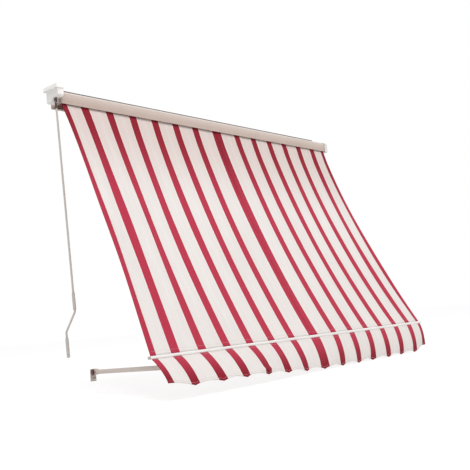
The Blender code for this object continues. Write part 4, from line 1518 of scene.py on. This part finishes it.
@dataclass
class HardParts:
    """The metal and plastic pieces: rounded edges where they show, and a finish on every node."""

    frame: Frame
    palette: Palette
    flat_below: float = 0.002
    smooth_below: float = math.radians(40)

    def softened(self) -> list[Softened]:
        """Lists the nodes whose edges are rounded.

        Returns:
            Each node with its body, slot, finish and radius.
        """
        wall = "wall_frame"
        listed = [
            Softened("gear_cap", wall, "cap_plastic", "cap_moulding", radius=0.0024, segments=3),
            Softened("end_cap", wall, "cap_plastic", "end_moulding", radius=0.0012, segments=3),
            Softened("hood", wall, "hood_enamel", "hood_coat", radius=0.0006),
            Softened("front_bar", "bar", "bar_enamel", "bar_coat", radius=0.0012, segments=3),
        ]
        for side in ("left", "right"):
            bracket, cap = f"wall_bracket_{side}", f"pivot_cap_{side}"
            listed += [
                Softened(f"bar_cap_{side}", "bar", "crank_enamel", "crank_coat", radius=0.0010),
                Softened(f"bar_carrier_{side}", "bar", "crank_enamel", "crank_coat", radius=0.0006),
                Softened(bracket, wall, "crank_enamel", "arm_coat", radius=0.0008),
                Softened(cap, wall, "maroon_plastic", "maroon_moulding", radius=0.0009, segments=3),
            ]
        return listed

    def plain(self) -> dict[str, list[str]]:
        """Lists the finish of every node that keeps its own shape.

        Returns:
            The nodes of each finish.
        """
        both = ("left", "right")
        return {
            "zinc_steel": [
                "drive_plug",
                "worm_wheel",
                "worm_shaft",
                "joint_cross",
                "idler_pin",
                "roller_tube",
                *[f"pivot_pin_{side}" for side in both],
                *[f"bar_pin_{side}" for side in both],
            ],
            "joint_moulding": ["upper_fork", "lower_fork"],
            "grip_moulding": ["upper_grip", "lower_grip", "grip_cap", "idler_plug"],
            "crank_coat": ["crank_rod"],
            "hood_coat": [f"bearing_plate_{side}" for side in both],
            "arm_coat": [f"arm_{end}_{side}" for end in ("heel", "tube", "tip") for side in both],
            "seal_rubber_strip": ["wall_seal"],
            "roll_cloth_weave": ["cloth_roll"],
        }

    def round_edges(self, choice: Softened) -> None:
        """Shows a node with rounded edges.

        Args:
            choice: the node and how it is rounded.
        """
        builder = bmesh.new()
        builder.from_mesh(self.frame.node(choice.node).data)
        bmesh.ops.remove_doubles(builder, verts=builder.verts, dist=MERGE_DISTANCE)
        joined = [edge for edge in builder.edges if edge.is_manifold]
        flat = [edge for edge in joined if edge.calc_face_angle(0.0) < self.flat_below]
        bmesh.ops.dissolve_edges(builder, edges=flat, use_verts=False)
        name = f"{choice.node}_finished"
        mesh = take_mesh(builder, name)
        piece = add_piece(name, mesh, choice.body, choice.slot)
        step = piece.modifiers.new("rounded", "BEVEL")
        step.width = choice.radius
        step.segments = choice.segments
        step.limit_method = "ANGLE"
        step.angle_limit = choice.sharper_than
        step.harden_normals = True
        mesh.shade_smooth()
        mesh.set_sharp_from_angle(angle=self.smooth_below)
        self.palette.dress(piece, choice.finish)
        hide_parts(choice.node)

    def build(self) -> None:
        """Rounds and dresses the hard pieces."""
        for choice in self.softened():
            self.round_edges(choice)
        for finish, nodes in self.plain().items():
            for node in nodes:
                self.palette.dress(self.frame.node(node), finish)
                LOG.info("%s: finish %s", node, finish)


@dataclass
class Studio:
    """Floor, light and the camera at the photographed view."""

    lens: float = 48.95
    sensor: float = 36.0
    reach: float = 100.0
    camera_place: Triple = (-2.999, -3.276, -1.3645)
    right: Triple = (0.7211, -0.6868, -0.0913)
    up: Triple = (-0.0249, -0.1574, 0.9872)
    forward: Triple = (0.6924, 0.7096, 0.1306)
    floor_drop: float = 0.012
    floor_size: float = 60.0
    floor_grey: Colour = (0.90, 0.90, 0.90)
    floor_share: float = 0.56
    floor_glow: float = 1.36
    world_strength: float = 0.56
    aim: Triple = (0.0, -0.4, -0.8)
    key_place: Triple = (-2.2, -3.6, 5.0)
    key_size: float = 3.0
    key_power: float = 230.0
    fill_place: Triple = (3.8, -4.2, 1.2)
    fill_size: float = 3.5
    fill_power: float = 45.0

    def camera(self) -> None:
        """Sets the camera."""
        data = bpy.data.cameras.new("camera")
        data.lens = self.lens
        data.sensor_width = self.sensor
        data.clip_end = self.reach
        item = new_object("camera", data)
        axes = Matrix((self.right, self.up, tuple(-value for value in self.forward))).transposed()
        item.matrix_world = Matrix.Translation(self.camera_place) @ axes.to_4x4()
        bpy.context.scene.camera = item

    def seen_white(self, shader: Shader) -> Signal:
        """Gives 1 for the rays of the camera, of mirrors and of glass.

        Args:
            shader: the material or world that asks.

        Returns:
            1 for these rays and 0 for others.
        """
        kinds = ("Camera", "Glossy", "Transmission")
        rays = [shader.node("ShaderNodeLightPath", {}, {}, f"Is {kind} Ray") for kind in kinds]
        return rays[0].most(rays[1]).most(rays[2])

    def floor(self, low: float) -> None:
        """Lays the floor a little under the object.

        Args:
            low: the object's lowest height.
        """
        half = self.floor_size / 2
        level = low - self.floor_drop
        sides = ((-half, -half), (half, -half), (half, half), (-half, half))
        mesh = bpy.data.meshes.new("floor")
        mesh.from_pydata([(*side, level) for side in sides], [], [(0, 1, 2, 3)])
        item = new_object("floor", mesh)
        shader = Shader("floor_white")
        shader.set(Base_Color=self.floor_grey, Roughness=1.0, Specular_IOR_Level=0.0)
        light = {"Color": WHITE, "Strength": self.floor_glow}
        glow = shader.node("ShaderNodeEmission", {}, light)
        lit = Signal(shader, shader.surface.outputs[0])
        share = self.seen_white(shader) * self.floor_share
        mixed = shader.node("ShaderNodeMixShader", {}, {0: share, 1: lit, 2: glow})
        shader.fill(shader.tree.nodes["Material Output"].inputs["Surface"], mixed)
        mesh.materials.append(shader.material)
        item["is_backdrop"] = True

    def world(self) -> None:
        """Lights the scene evenly from all round, and shows white behind the object."""
        shader = WorldShader("studio")
        strength = self.seen_white(shader) * (1.0 - self.world_strength) + self.world_strength
        shader.set(Color=WHITE, Strength=strength)

    def lamp(self, name: str, place: Triple, size: float, power: float) -> None:
        """Adds a soft square lamp that points at the awning.

        Args:
            name: the lamp's name.
            place: where it stands.
            size: its side.
            power: its power in watts.
        """
        data = bpy.data.lights.new(name, "AREA")
        data.size = size
        data.energy = power
        item = new_object(name, data)
        aim = (Vector(self.aim) - Vector(place)).to_track_quat("-Z", "Y")
        item.matrix_world = Matrix.Translation(place) @ aim.to_matrix().to_4x4()

    def build(self, low: float) -> None:
        """Sets floor, world, lamps and camera.

        Args:
            low: the object's lowest height.
        """
        self.floor(low)
        self.world()
        self.lamp("key", self.key_place, self.key_size, self.key_power)
        self.lamp("fill", self.fill_place, self.fill_size, self.fill_power)
        self.camera()
        bpy.context.scene.view_settings.view_transform = "Standard"


def main() -> None:
    """Loads the frame, measures its box, and builds every piece and the studio, with the floor
    under that box.
    """
    logging.basicConfig(level=logging.INFO, format="%(message)s")
    frame = Frame(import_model())
    cad_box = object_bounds()
    palette = Palette()
    stitching = Stitching(palette)
    Canopy(frame, palette, stitching).build()
    Valance(frame, palette, stitching).build()
    screws = PanHeadScrews(frame, palette)
    screws.build("hood_screws", [f"hood_screw_{number}" for number in (1, 2, 3)])
    sides = ("left", "right")
    screws.build("bracket_screws", [f"bracket_screw_{side}_{n}" for side in sides for n in (1, 2)])
    HardParts(frame, palette).build()
    Studio().build(cad_box[0][2])


if __name__ == "__main__":
    main()
